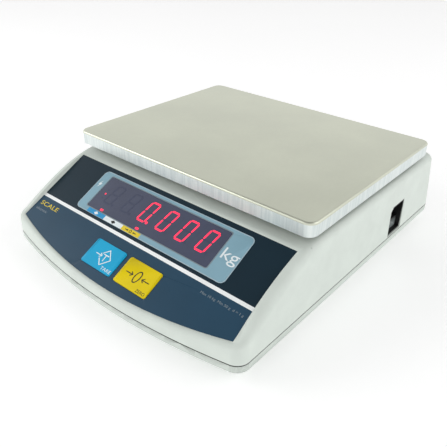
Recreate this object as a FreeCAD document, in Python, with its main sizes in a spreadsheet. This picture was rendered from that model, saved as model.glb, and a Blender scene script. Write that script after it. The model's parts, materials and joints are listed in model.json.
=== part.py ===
import FreeCAD, Part
import math
import os
import re
import Sketcher
from FreeCAD import Placement, Rotation, Vector

# Counting scale: a low plastic housing on four levelling feet, a stainless pan on a cast
# carrier and a single-point load cell, and a sloping control panel with LED digits and two keys.
# Frame: X to the right, Y to the back, Z up, origin on the floor under the housing's centre.

SIZES = [
    # housing
    ("case_width", 285, "housing width at the parting line"),
    ("case_depth", 347, "housing depth, front centre to back"),
    ("overall_height", 96, "floor to the pan's top"),
    ("foot_height", 9.5, "floor to the base's underside"),
    ("base_height", 6.5, "height of the base's outer wall"),
    ("seam_gap", 0.7, "open groove between base and cover"),
    ("seam_tongue", 3.5, "height of the base's tongue above its wall"),
    ("tongue_wall", 1.4, "thickness of the tongue"),
    ("front_radius", 600, "radius of the bowed front in plan"),
    ("corner_radius", 12, "radius of the upright corners"),
    ("side_lean", 2.4, "lean of each side over the cover's height"),
    ("front_lean", 2.4, "lean of the front over the cover's height"),
    ("back_lean", 14, "lean of the back over the cover's height"),
    ("shell_wall", 2.5, "wall of the housing"),
    ("base_floor", 3, "floor of the base"),
    ("deck_height", 76, "top of the cover under the pan"),
    ("edge_round", 6.5, "rounding of the cover's upper edges"),
    ("lip_round", 2.2, "rounding of the cover's front lip"),
    ("fit_gap", 0.2, "clearance of a piece set in an opening"),
    ("screw_gap", 0.05, "clearance of a screw in its hole"),
    # control panel, measured down its slope from its top edge
    ("panel_angle", 27.27, "slope of the panel"),
    ("panel_gap", 4.3, "pan front to the panel's top edge"),
    ("panel_height", 72.1, "height of the panel's top edge"),
    ("panel_width", 264, "width of the panel"),
    ("panel_side", 83.7, "length of the panel's sides"),
    ("panel_bow", 18.2, "rise of the panel's bowed lower edge"),
    ("overlay_thickness", 0.5, "thickness of the printed overlays"),
    ("rim_step", 0.4, "height of the rim over the panel's ends"),
    ("rim_radius", 220, "radius of the rim's rise beside the panel"),
    ("rim_blend", 60, "radius where the rim meets the front lip"),
    ("lip_start", 84.4, "distance down the slope where the lip starts"),
    ("stripe_top", 54.6, "top of the dividing strip"),
    ("stripe_width", 3.2, "width of the dividing strip"),
    # display
    ("frame_left", 87, "display frame's reach left of the middle"),
    ("frame_right", 97, "display frame's reach right of the middle"),
    ("frame_top", 5, "top of the display frame"),
    ("frame_bottom", 51.3, "bottom of the display frame"),
    ("frame_round", 5, "corner radius of the display frame"),
    ("frame_rise", 0.3, "height of the frame over the overlay"),
    ("window_width", 151, "width of the smoked window"),
    ("window_top", 9, "top of the window"),
    ("window_bottom", 45.5, "bottom of the window"),
    ("window_round", 1.5, "corner radius of the window"),
    ("window_sink", 0.2, "depth of the window's face under the frame's"),
    ("window_ledge", 1.2, "ledge that carries the window"),
    ("digit_pitch", 24, "spacing of the digits"),
    ("digit_left", 72.5, "left edge of the first digit module, from the middle"),
    ("digit_width", 22.6, "width of a digit module"),
    ("digit_length", 32, "length of a digit module"),
    ("digit_top", 8.6, "top of the digit modules"),
    ("digit_depth", 8, "depth of a digit module"),
    ("board_thickness", 1.6, "thickness of every circuit board"),
    ("board_margin", 7, "display board around the digits"),
    # keys
    ("key_width", 38, "width of a key"),
    ("key_length", 24.8, "length of a key"),
    ("key_top", 67.4, "top of the keys"),
    ("key_round", 2, "corner radius of a key"),
    ("key_rise", 0.6, "height of a key over the overlay"),
    ("key_depth", 2.6, "depth of a key under the overlay"),
    ("key_gap", 0.3, "clearance round a key"),
    ("key_travel", 0.5, "travel of a key"),
    ("tare_offset", 14.6, "tare key's middle, left of the centre"),
    ("zero_offset", 28.6, "zero key's middle, right of the centre"),
    ("switch_size", 6, "side of a tact switch"),
    ("switch_height", 3.5, "height of a tact switch's case"),
    ("plunger_radius", 1.7, "radius of a tact switch's plunger"),
    ("plunger_height", 0.8, "height of a tact switch's plunger"),
    # weighing pan
    ("pan_width", 280, "width of the pan"),
    ("pan_depth", 215, "depth of the pan"),
    ("pan_setback", 99, "front of the housing to the front of the pan"),
    ("pan_rim", 12.8, "height of the pan's rim"),
    ("pan_sheet", 1.2, "thickness of the pan's sheet"),
    ("pan_corner", 9, "corner radius of the pan"),
    ("pan_edge", 1.8, "rounding of the pan's upper edge"),
    # carrier and load cell
    ("post_spread", 200, "spacing of the carrier's posts across"),
    ("post_reach", 150, "spacing of the carrier's posts front to back"),
    ("post_radius", 7, "radius of a carrier post"),
    ("post_hole_gap", 3, "clearance of a post in the deck"),
    ("pad_thickness", 3, "thickness of a carrier pad"),
    ("carrier_height", 47, "underside of the carrier"),
    ("carrier_plate", 6, "thickness of the carrier's plate"),
    ("carrier_bar", 18, "width of the carrier's bars"),
    ("carrier_rib", 5, "height of the carrier's ribs"),
    ("rib_width", 4, "width of the carrier's ribs"),
    ("cell_length", 130, "length of the load cell"),
    ("cell_width", 30, "width of the load cell"),
    ("cell_height", 22, "height of the load cell"),
    ("cell_bore", 7, "radius of the load cell's two bores"),
    ("cell_bore_spacing", 32, "spacing of the load cell's bores"),
    ("cell_slot", 3, "height of the slot between the bores"),
    ("cell_spacer", 6, "height of each load cell spacer"),
    ("cell_spacer_length", 34, "length of each load cell spacer"),
    ("cell_screw_radius", 3, "radius of the load cell's screws"),
    ("cell_screw_spacing", 18, "spacing of the load cell's screws"),
    ("cell_screw_grip", 12, "length of the screws inside the load cell"),
    ("stop_radius", 3, "radius of an overload stop"),
    ("stop_gap", 0.8, "gap between a stop and the carrier"),
    ("stop_spread", 160, "spacing of the overload stops across"),
    # feet
    ("foot_spread", 214, "spacing of the feet across"),
    ("foot_reach", 250, "spacing of the feet front to back"),
    ("foot_radius", 13, "radius of a foot's pad"),
    ("foot_pad", 4.5, "height of a foot's rubber pad"),
    ("foot_flange", 1.5, "height of a foot's flange"),
    ("stud_radius", 3.95, "radius of a foot's stud"),
    ("stud_length", 18, "length of a foot's stud over its flange"),
    ("stud_gap", 0.05, "clearance of a stud in its thread"),
    ("nut_height", 3, "height of a lock nut"),
    ("nut_radius", 7.2, "radius over a lock nut's corners"),
    ("foot_boss", 8, "radius of a foot's boss"),
    ("boss_height", 8, "height of a foot's boss over the floor"),
    # battery
    ("battery_left", 135.2, "battery's left side, from the middle"),
    ("battery_width", 47, "width of the battery"),
    ("battery_length", 100, "length of the battery"),
    ("battery_height", 46, "height of the battery"),
    ("battery_front", 50, "battery's front, in front of the pan's middle"),
    ("strap_width", 16, "width of the battery strap"),
    ("strap_sheet", 0.8, "thickness of the battery strap"),
    ("cover_margin", 4, "battery cover's flange round its opening"),
    ("cover_reach", 14, "battery cover's flange before and behind its opening"),
    ("cover_plate", 1.5, "thickness of the battery cover"),
    # power
    ("power_middle", 83, "middle of the power opening, behind the centre"),
    ("power_width", 27.4, "width of the power opening"),
    ("power_low", 17.6, "bottom of the power opening"),
    ("power_high", 49.6, "top of the power opening"),
    ("power_corner", 4, "cut-off corner of the power opening"),
    ("power_recess", 2.6, "depth of the power unit's face in the wall"),
    ("power_depth", 26, "depth of the power unit"),
    ("power_wall", 1.3, "wall of the power unit"),
    ("socket_low", 31, "bottom of the inlet's cavity"),
    ("socket_depth", 17, "depth of the inlet's cavity"),
    ("pin_length", 11, "length of an inlet pin in the cavity"),
    ("pin_tail", 5, "length of an inlet pin behind the unit"),
    ("pin_thickness", 2, "thickness of an inlet pin"),
    ("pin_width", 4, "width of an inlet pin"),
    ("pin_spacing", 7, "spacing of the inlet pins"),
    ("rocker_width", 20, "width of the rocker"),
    ("rocker_height", 9, "height of the rocker"),
    ("rocker_low", 19.5, "bottom of the rocker"),
    ("rocker_tilt", 8, "tilt of the rocker to each side"),
    ("rocker_rise", 1.6, "height of the rocker's ends over its middle"),
    ("rocker_body", 6, "depth of the rocker behind its face"),
    ("rocker_gap", 0.8, "clearance round the rocker"),
    ("rocker_pin", 1.5, "radius of the rocker's pivot"),
    # transformer
    ("core_width", 42, "width of the transformer's core"),
    ("core_height", 36, "height of the transformer's core"),
    ("core_depth", 16, "depth of the transformer's core"),
    ("coil_width", 27, "width of the transformer's coil"),
    ("coil_depth", 34, "depth of the transformer's coil"),
    ("coil_height", 24, "height of the transformer's coil"),
    ("core_limb", 7, "width of the transformer core's outer limbs"),
    ("transformer_x", 108, "transformer's middle, right of the centre"),
    ("transformer_front", 19, "transformer's middle, in front of the pan's middle"),
    # boards and small parts
    ("main_width", 150, "width of the main board"),
    ("main_depth", 54, "depth of the main board"),
    ("main_front", 177, "main board's front, in front of the pan's middle"),
    ("main_rise", 5, "height of the main board over the floor"),
    ("board_inset", 5, "board screws from a board's edges"),
    ("chip_side", 14, "side of the processor"),
    ("chip_height", 2, "height of the processor"),
    ("jack_height", 8, "height of the board's connectors"),
    ("boss_radius", 4, "radius of a screw boss"),
    ("screw_radius", 1.6, "radius of a case screw"),
    ("head_radius", 3.1, "radius of a case screw's head"),
    ("head_height", 1.8, "height of a case screw's head"),
    ("case_screw_length", 16, "length of a case screw under its head"),
    ("case_screw_inset", 15, "case screws from the housing's sides"),
    ("case_screw_front", 49.5, "front case screws, behind the front"),
    ("case_screw_middle", 69, "middle case screws, in front of the pan's middle"),
    ("case_screw_back", 47.5, "back case screws, in front of the back"),
    ("lead_run", 14, "straight run of a lead out of a plug"),
    ("lead_radius", 2, "radius of an internal lead"),
    ("cut_overshoot", 30, "reach of a cut past the panel's face"),
]

doc = FreeCAD.newDocument("counting_scale")
sheet = doc.addObject("Spreadsheet::Sheet", "Sizes")
for row, (alias, number, note) in enumerate(SIZES, start=1):
    sheet.set(f"A{row}", note)
    sheet.set(f"B{row}", str(number))
    sheet.setAlias(f"B{row}", alias)
doc.recompute()

pieces = []

# places that several pieces share, as formulas of the sheet's names
FRONT = "(-case_depth/2)"
BACK = "(case_depth/2)"
SIDE = "(case_width/2)"
SEAM = "(foot_height + base_height)"
FLOOR = "(foot_height + base_floor)"
PAN_FRONT = f"({FRONT} + pan_setback)"
PAN_MIDDLE = f"({PAN_FRONT} + pan_depth/2)"
PANEL_Y = f"({PAN_FRONT} - panel_gap)"
PANEL_FLOOR = "(-overlay_thickness)"
PANEL_BACK = "(-overlay_thickness - shell_wall)"
FRAME_TOP = "(frame_rise)"
WINDOW_FACE = "(frame_rise - window_sink)"
TONGUE_LEAN = f"(back_lean*(seam_gap + seam_tongue)/(overall_height - {SEAM}))"
CELL_LOW = f"({FLOOR} + cell_spacer)"
CELL_HIGH = f"({CELL_LOW} + cell_height)"
CARRIER_TOP = "(carrier_height + carrier_plate)"
PAD_TOP = "(overall_height - pan_sheet)"
POST_TOP = f"({PAD_TOP} - pad_thickness)"
POWER_FACE = f"({SIDE} - side_lean - power_recess)"
POWER_BACK = f"({POWER_FACE} - power_depth)"
BOARD_FRONT = f"({PAN_MIDDLE} - main_front)"
TRANSFORMER_Y = f"({PAN_MIDDLE} - transformer_front)"
DIGITS = 6


def value(formula):
    """The number that a formula of the sheet's names gives."""
    result = sheet.evalExpression(formula)
    return float(getattr(result, "Value", result))


def bind(item, prop, formula):
    """Tie a property to the sheet, writing each of the sheet's names in full."""
    item.setExpression(prop, re.sub(r"\b([a-z]+_[a-z_]+)\b", r"Sizes.\1", formula))


def piece(item, label):
    """Name an object as one of the scale's pieces, to be written to its own file."""
    item.Label = label
    pieces.append(item)
    return item


# ---- primitives and booleans ----------------------------------------------------------

def place(item, across, back, height):
    bind(item, "Placement.Base.x", across)
    bind(item, "Placement.Base.y", back)
    bind(item, "Placement.Base.z", height)


def block(name, left, right, front, back, low, high):
    """A box between six planes."""
    item = doc.addObject("Part::Box", name)
    bind(item, "Length", f"({right}) - ({left})")
    bind(item, "Width", f"({back}) - ({front})")
    bind(item, "Height", f"({high}) - ({low})")
    place(item, left, front, low)
    return item


def rod(name, across, back, low, high, radius):
    """An upright cylinder."""
    item = doc.addObject("Part::Cylinder", name)
    bind(item, "Radius", radius)
    bind(item, "Height", f"({high}) - ({low})")
    place(item, across, back, low)
    return item


def cross_rod(name, left, right, back, height, radius):
    """A cylinder that lies along X."""
    item = doc.addObject("Part::Cylinder", name)
    item.Placement = Placement(Vector(), Rotation(Vector(0, 1, 0), 90))
    bind(item, "Radius", radius)
    bind(item, "Height", f"({right}) - ({left})")
    place(item, left, back, height)
    return item


def fuse(name, parts):
    item = doc.addObject("Part::MultiFuse", name)
    item.Shapes = parts
    return item


def group(name, parts):
    """Separate solids that share one piece."""
    item = doc.addObject("Part::Compound", name)
    item.Links = parts
    return item


def cut(name, base, tools):
    item = doc.addObject("Part::Cut", name)
    item.Base = base
    item.Tool = tools[0] if len(tools) == 1 else fuse(name + "_tools", tools)
    return item


def on_panel(item):
    """Set an object drawn flat onto the panel, its Y running up the slope."""
    item.Placement = Placement(Vector(), Rotation(Vector(1, 0, 0), value("panel_angle")))
    place(item, "0", PANEL_Y, "panel_height")
    bind(item, "Placement.Rotation.Angle", "panel_angle")
    return item


# ---- bodies and sketches --------------------------------------------------------------

def new_body(name):
    return doc.addObject("PartDesign::Body", name)


def new_sketch(body, name, role="XY_Plane", height="0"):
    sketch = body.newObject("Sketcher::SketchObject", name)
    plane = next(item for item in body.Origin.OriginFeatures if item.Role == role)
    sketch.AttachmentSupport = [(plane, "")]
    sketch.MapMode = "FlatFace"
    bind(sketch, "AttachmentOffset.Base.z", height)
    return sketch


def limit(sketch, kind, *parts):
    """Add a constraint whose last part is a formula, and tie it to the sheet."""
    formula = parts[-1]
    index = sketch.addConstraint(Sketcher.Constraint(kind, *parts[:-1], value(formula)))
    bind(sketch, f"Constraints[{index}]", formula)


def join(sketch, kind, first, second):
    """Join the end of one edge to the start of another."""
    sketch.addConstraint(Sketcher.Constraint(kind, first, 2, second, 1))


def polygon(sketch, corners):
    """A closed outline through corners given as pairs of formulas."""
    points = [Vector(value(x), value(y), 0) for x, y in corners]
    start = sketch.GeometryCount
    count = len(points)
    for number in range(count):
        line = Part.LineSegment(points[number], points[(number + 1) % count])
        sketch.addGeometry(line, False)
    for number in range(count):
        join(sketch, "Coincident", start + number, start + (number + 1) % count)
    for number, (x, y) in enumerate(corners):
        limit(sketch, "DistanceX", -1, 1, start + number, 1, x)
        limit(sketch, "DistanceY", -1, 1, start + number, 1, y)


def circle(sketch, x, y, radius):
    centre = Vector(value(x), value(y), 0)
    index = sketch.addGeometry(Part.Circle(centre, Vector(0, 0, 1), value(radius)), False)
    limit(sketch, "Radius", index, radius)
    limit(sketch, "DistanceX", -1, 1, index, 3, x)
    limit(sketch, "DistanceY", -1, 1, index, 3, y)


def arc(centre, radius, start, end):
    ring = Part.Circle(centre, Vector(0, 0, 1), radius)
    return Part.ArcOfCircle(ring, start, end)


def rounded_rectangle(sketch, left, right, low, high, corner):
    """A rectangle with four equal round corners, drawn anticlockwise."""
    x0, x1, y0, y1, r = (value(item) for item in (left, right, low, high, corner))
    quarter = math.pi / 2
    first = sketch.addGeometry([
        Part.LineSegment(Vector(x0 + r, y0, 0), Vector(x1 - r, y0, 0)),
        arc(Vector(x1 - r, y0 + r, 0), r, -quarter, 0),
        Part.LineSegment(Vector(x1, y0 + r, 0), Vector(x1, y1 - r, 0)),
        arc(Vector(x1 - r, y1 - r, 0), r, 0, quarter),
        Part.LineSegment(Vector(x1 - r, y1, 0), Vector(x0 + r, y1, 0)),
        arc(Vector(x0 + r, y1 - r, 0), r, quarter, 2 * quarter),
        Part.LineSegment(Vector(x0, y1 - r, 0), Vector(x0, y0 + r, 0)),
        arc(Vector(x0 + r, y0 + r, 0), r, 2 * quarter, 3 * quarter),
    ], False)[0]
    for number in range(8):
        join(sketch, "Tangent", first + number, first + (number + 1) % 8)
    for number in (0, 4):
        sketch.addConstraint(Sketcher.Constraint("Horizontal", first + number))
    for number in (2, 6):
        sketch.addConstraint(Sketcher.Constraint("Vertical", first + number))
    for number in (3, 5, 7):
        sketch.addConstraint(Sketcher.Constraint("Equal", first + 1, first + number))
    limit(sketch, "Radius", first + 1, corner)
    limit(sketch, "DistanceY", -1, 1, first, 1, low)
    limit(sketch, "DistanceX", -1, 1, first + 2, 1, right)
    limit(sketch, "DistanceY", -1, 1, first + 4, 1, high)
    limit(sketch, "DistanceX", -1, 1, first + 6, 1, left)


def extrude(body, kind, sketch, length, reverse=False, middle=False):
    feature = body.newObject(kind, sketch.Name + "_" + kind.split("::")[1].lower())
    feature.Profile = sketch
    feature.Reversed = reverse
    feature.Midplane = middle
    bind(feature, "Length", length)
    body.Tip = feature
    return feature


def pad(body, sketch, length, **options):
    return extrude(body, "PartDesign::Pad", sketch, length, **options)


def pocket(body, sketch, length, **options):
    return extrude(body, "PartDesign::Pocket", sketch, length, **options)


def plate(name, left, right, low, high, corner, bottom, top):
    """A flat plate with round corners, between two heights."""
    body = new_body(name)
    sketch = new_sketch(body, name + "_outline", height=bottom)
    rounded_rectangle(sketch, left, right, low, high, corner)
    pad(body, sketch, f"({top}) - ({bottom})")
    return body


# ---- housing shapes -------------------------------------------------------------------

def case_outline(body, name, height, side, front, back, bow, corner):
    """The housing's plan: straight sides and back, a bowed front and round corners."""
    sketch = new_sketch(body, name, height=height)
    w, f, b, big, r = (value(item) for item in (side, front, back, bow, corner))
    across = w - r
    down = f + big - math.sqrt((big - r) ** 2 - across ** 2)
    hub = Vector(0, f + big, 0)
    lean = math.atan2(across, f + big - down)
    quarter = math.pi / 2
    first = sketch.addGeometry([
        arc(hub, big, -quarter - lean, -quarter + lean),
        arc(Vector(across, down, 0), r, -quarter + lean, 0),
        Part.LineSegment(Vector(w, down, 0), Vector(w, b - r, 0)),
        arc(Vector(across, b - r, 0), r, 0, quarter),
        Part.LineSegment(Vector(across, b, 0), Vector(-across, b, 0)),
        arc(Vector(-across, b - r, 0), r, quarter, 2 * quarter),
        Part.LineSegment(Vector(-w, b - r, 0), Vector(-w, down, 0)),
        arc(Vector(-across, down, 0), r, 2 * quarter, 3 * quarter - lean),
    ], False)[0]
    for number in range(8):
        join(sketch, "Tangent", first + number, first + (number + 1) % 8)
    for number in (2, 6):
        sketch.addConstraint(Sketcher.Constraint("Vertical", first + number))
    sketch.addConstraint(Sketcher.Constraint("Horizontal", first + 4))
    for number in (3, 5, 7):
        sketch.addConstraint(Sketcher.Constraint("Equal", first + 1, first + number))
    limit(sketch, "Radius", first, bow)
    limit(sketch, "Radius", first + 1, corner)
    limit(sketch, "DistanceX", -1, 1, first, 3, "0")
    limit(sketch, "DistanceY", -1, 1, first, 3, f"{front} + {bow}")
    limit(sketch, "DistanceX", -1, 1, first + 2, 1, side)
    limit(sketch, "DistanceY", -1, 1, first + 4, 1, back)
    limit(sketch, "DistanceX", -1, 1, first + 6, 1, f"-({side})")
    return sketch


def leaning_block(name, low, high, inset):
    """The housing's block between two heights, leaning in as it rises, inset all round."""
    body = new_body(name)
    lower = case_outline(
        body, name + "_foot", low, f"({SIDE} - ({inset}))", f"({FRONT} + ({inset}))",
        f"({BACK} - ({inset}))", f"(front_radius - ({inset}))", f"(corner_radius - ({inset}))")
    upper = case_outline(
        body, name + "_head", high, f"({SIDE} - side_lean - ({inset}))",
        f"({FRONT} + front_lean + ({inset}))", f"({BACK} - back_lean - ({inset}))",
        f"(front_radius - ({inset}))", f"(corner_radius - ({inset}))")
    loft = body.newObject("PartDesign::AdditiveLoft", name + "_loft")
    loft.Profile = lower
    loft.Sections = [upper]
    loft.Ruled = True
    body.Tip = loft
    return body


def panel_point(down, rise):
    """Formulas for a point on the panel's middle line: distance down the slope, and over it."""
    y = f"({PANEL_Y} - ({down})*cos(panel_angle) - ({rise})*sin(panel_angle))"
    z = f"(panel_height - ({down})*sin(panel_angle) + ({rise})*cos(panel_angle))"
    return y, z


def trim_above_rim(body):
    """Cut the cover's block down to its deck, the rim beside the panel and the front lip."""
    sketch = new_sketch(body, "rim_profile", "YZ_Plane")
    rim_y, rim_z = panel_point("0", "rim_step")
    lip_y, lip_z = panel_point("lip_start", "rim_step")
    slope = math.radians(value("panel_angle"))
    big, blend = value("rim_radius"), value("rim_blend")
    start = Vector(value(rim_y), value(rim_z), 0)
    lip = Vector(value(lip_y), value(lip_z), 0)
    normal = Vector(-math.sin(slope), math.cos(slope), 0)
    down = Vector(-math.cos(slope), -math.sin(slope), 0)
    hollow = lip + normal * blend
    # the rise's centre is rim_radius from the start and rim_radius + rim_blend from the hollow
    gap = hollow - start
    along = (big ** 2 - (big + blend) ** 2 + gap.Length ** 2) / (2 * gap.Length)
    unit = gap.normalize()
    side = Vector(-unit.y, unit.x, 0)
    hub = start + unit * along + side * math.sqrt(big ** 2 - along ** 2)
    meet = hub + (hollow - hub) * (big / (big + blend))
    toward = (start - hub).normalize()
    deck = value("deck_height")
    crown = (deck - start.y) / (1 - toward.y)
    shoulder = start - toward * crown
    top = Vector(shoulder.x, deck, 0)
    reach = value("case_depth")
    end = lip + down * (reach / 4)
    ceiling = value("2*overall_height")
    first = sketch.addGeometry([
        Part.LineSegment(Vector(reach, deck, 0), top),
        arc(shoulder, crown, math.pi / 2, math.atan2(toward.y, toward.x)),
        arc(hub, big, math.atan2(toward.y, toward.x), math.atan2(meet.y - hub.y, meet.x - hub.x)),
        arc(hollow, blend, math.atan2(meet.y - hollow.y, meet.x - hollow.x),
            math.atan2(lip.y - hollow.y, lip.x - hollow.x)),
        Part.LineSegment(lip, end),
        Part.LineSegment(end, Vector(end.x, ceiling, 0)),
        Part.LineSegment(Vector(end.x, ceiling, 0), Vector(reach, ceiling, 0)),
        Part.LineSegment(Vector(reach, ceiling, 0), Vector(reach, deck, 0)),
    ], False)[0]
    deck_line, crown_arc, rise_arc, blend_arc, lip_line, near, over, far = range(first, first + 8)
    link = sketch.addConstraint
    link(Sketcher.Constraint("Tangent", deck_line, 2, crown_arc, 1))
    link(Sketcher.Constraint("Tangent", crown_arc, 2, rise_arc, 1))
    link(Sketcher.Constraint("Tangent", rise_arc, 2, blend_arc, 2))
    link(Sketcher.Constraint("Tangent", blend_arc, 1, lip_line, 1))
    for one, other in ((lip_line, near), (near, over), (over, far), (far, deck_line)):
        join(sketch, "Coincident", one, other)
    for line in (deck_line, over):
        link(Sketcher.Constraint("Horizontal", line))
    for line in (near, far):
        link(Sketcher.Constraint("Vertical", line))
    limit(sketch, "DistanceY", -1, 1, deck_line, 1, "deck_height")
    limit(sketch, "DistanceX", -1, 1, deck_line, 1, "case_depth")
    limit(sketch, "DistanceY", -1, 1, over, 1, "2*overall_height")
    limit(sketch, "DistanceX", -1, 1, near, 1, f"{lip_y} - case_depth/4*cos(panel_angle)")
    limit(sketch, "DistanceX", -1, 1, rise_arc, 1, rim_y)
    limit(sketch, "DistanceY", -1, 1, rise_arc, 1, rim_z)
    limit(sketch, "DistanceX", -1, 1, lip_line, 1, lip_y)
    limit(sketch, "DistanceY", -1, 1, lip_line, 1, lip_z)
    limit(sketch, "Radius", rise_arc, "rim_radius")
    limit(sketch, "Radius", blend_arc, "rim_blend")
    limit(sketch, "DistanceY", -1, 1, lip_line, 2, f"{lip_z} - case_depth/4*sin(panel_angle)")
    pocket(body, sketch, "2*case_width", middle=True)


def rising_normal(face):
    low_u, high_u, low_v, high_v = face.ParameterRange
    return abs(face.normalAt((low_u + high_u) / 2, (low_v + high_v) / 2).z)


def round_rim(name, block_body):
    """Round the cover's upper edges, less at the front lip and evenly more round its corners."""
    doc.recompute()
    shape = block_body.Shape
    seam = value(f"{SEAM} + seam_gap + seam_tongue")
    lip_end = value(panel_point("lip_start", "0")[0])
    corner_start = value(FRONT) + value("corner_radius")
    small, large = value("lip_round"), value("edge_round")

    def radius_at(spot):
        share = (spot.y - corner_start) / (lip_end + value("corner_radius") - corner_start)
        return small + min(max(share, 0), 1) * (large - small)

    edges = []
    for number, edge in enumerate(shape.Edges, start=1):
        faces = shape.ancestorsOfType(edge, Part.Face)
        tilts = sorted(rising_normal(face) for face in faces)
        if len(tilts) == 2 and tilts[0] < 0.3 < tilts[1] and edge.CenterOfMass.z > seam:
            first, last = edge.valueAt(edge.FirstParameter), edge.valueAt(edge.LastParameter)
            if edge.Orientation == "Reversed":
                first, last = last, first
            edges.append((number, radius_at(first), radius_at(last)))
    item = doc.addObject("Part::Fillet", name)
    item.Base = block_body
    item.Edges = edges
    return item


def case_screw_places():
    across = f"({SIDE} - case_screw_inset)"
    rows = (f"({FRONT} + case_screw_front)", f"({PAN_MIDDLE} - case_screw_middle)",
            f"({BACK} - case_screw_back)")
    return [(f"{sign}{across}", row) for row in rows for sign in ("-", "")]


def post_places():
    signs = [(x, y) for y in ("-", "") for x in ("-", "")]
    return [(f"({x}post_spread/2)", f"({PAN_MIDDLE} + {y}post_reach/2)") for x, y in signs]


def upper_housing():
    outside = leaning_block("cover_outside", f"{SEAM} + seam_gap", "overall_height", "0")
    trim_above_rim(outside)
    rounded = round_rim("cover_rounded", outside)

    inside = leaning_block("cover_inside", f"{SEAM}", "overall_height", "shell_wall")
    sketch = new_sketch(inside, "ceiling_profile", "YZ_Plane")
    top_y, top_z = panel_point("0", PANEL_BACK)
    end_y, end_z = panel_point("1.5*panel_side", PANEL_BACK)
    ceiling = "(deck_height - shell_wall)"
    shoulder = f"({top_y} + ({ceiling} - ({top_z}))/tan(panel_angle))"
    polygon(sketch, [("case_depth", ceiling), (shoulder, ceiling), (end_y, end_z),
                     (end_y, "2*overall_height"), ("case_depth", "2*overall_height")])
    pocket(inside, sketch, "2*case_width", middle=True)
    bosses = []
    for number, (x, y) in enumerate(case_screw_places()):
        post = rod(f"cover_boss_{number}", x, y, f"{SEAM} + seam_tongue", "deck_height", "boss_radius")
        core = rod(f"cover_boss_core_{number}", x, y, SEAM, f"{SEAM} + case_screw_length",
                   "screw_radius + screw_gap")
        bosses.append(cut(f"cover_boss_tube_{number}", post, [core]))
    hollow = cut("cover_hollow", inside, bosses)

    recess = on_panel(panel_shape("recess", "0", PANEL_FLOOR, "cut_overshoot"))
    openings = [hollow, recess]
    openings.append(on_panel(plate(
        "window_opening", "-(window_width/2 - window_ledge)", "(window_width/2 - window_ledge)",
        "-(window_bottom - window_ledge)", "-(window_top + window_ledge)", "window_round",
        f"2*({PANEL_BACK})", "cut_overshoot")))
    for name, middle_x in (("tare", "-tare_offset"), ("zero", "zero_offset")):
        openings.append(on_panel(key_shape(
            name + "_opening", middle_x, "key_gap", f"2*({PANEL_BACK})", "cut_overshoot")))
    for number, (x, y) in enumerate(post_places()):
        openings.append(rod(f"post_opening_{number}", x, y, "carrier_height", "overall_height",
                            "post_radius + post_hole_gap"))
    openings.append(power_shape("power_opening", "0", f"{SIDE} - side_lean - 2*shell_wall",
                                f"{SIDE} + shell_wall"))
    return piece(cut("upper_housing_shell", rounded, openings), "upper_housing")


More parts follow.
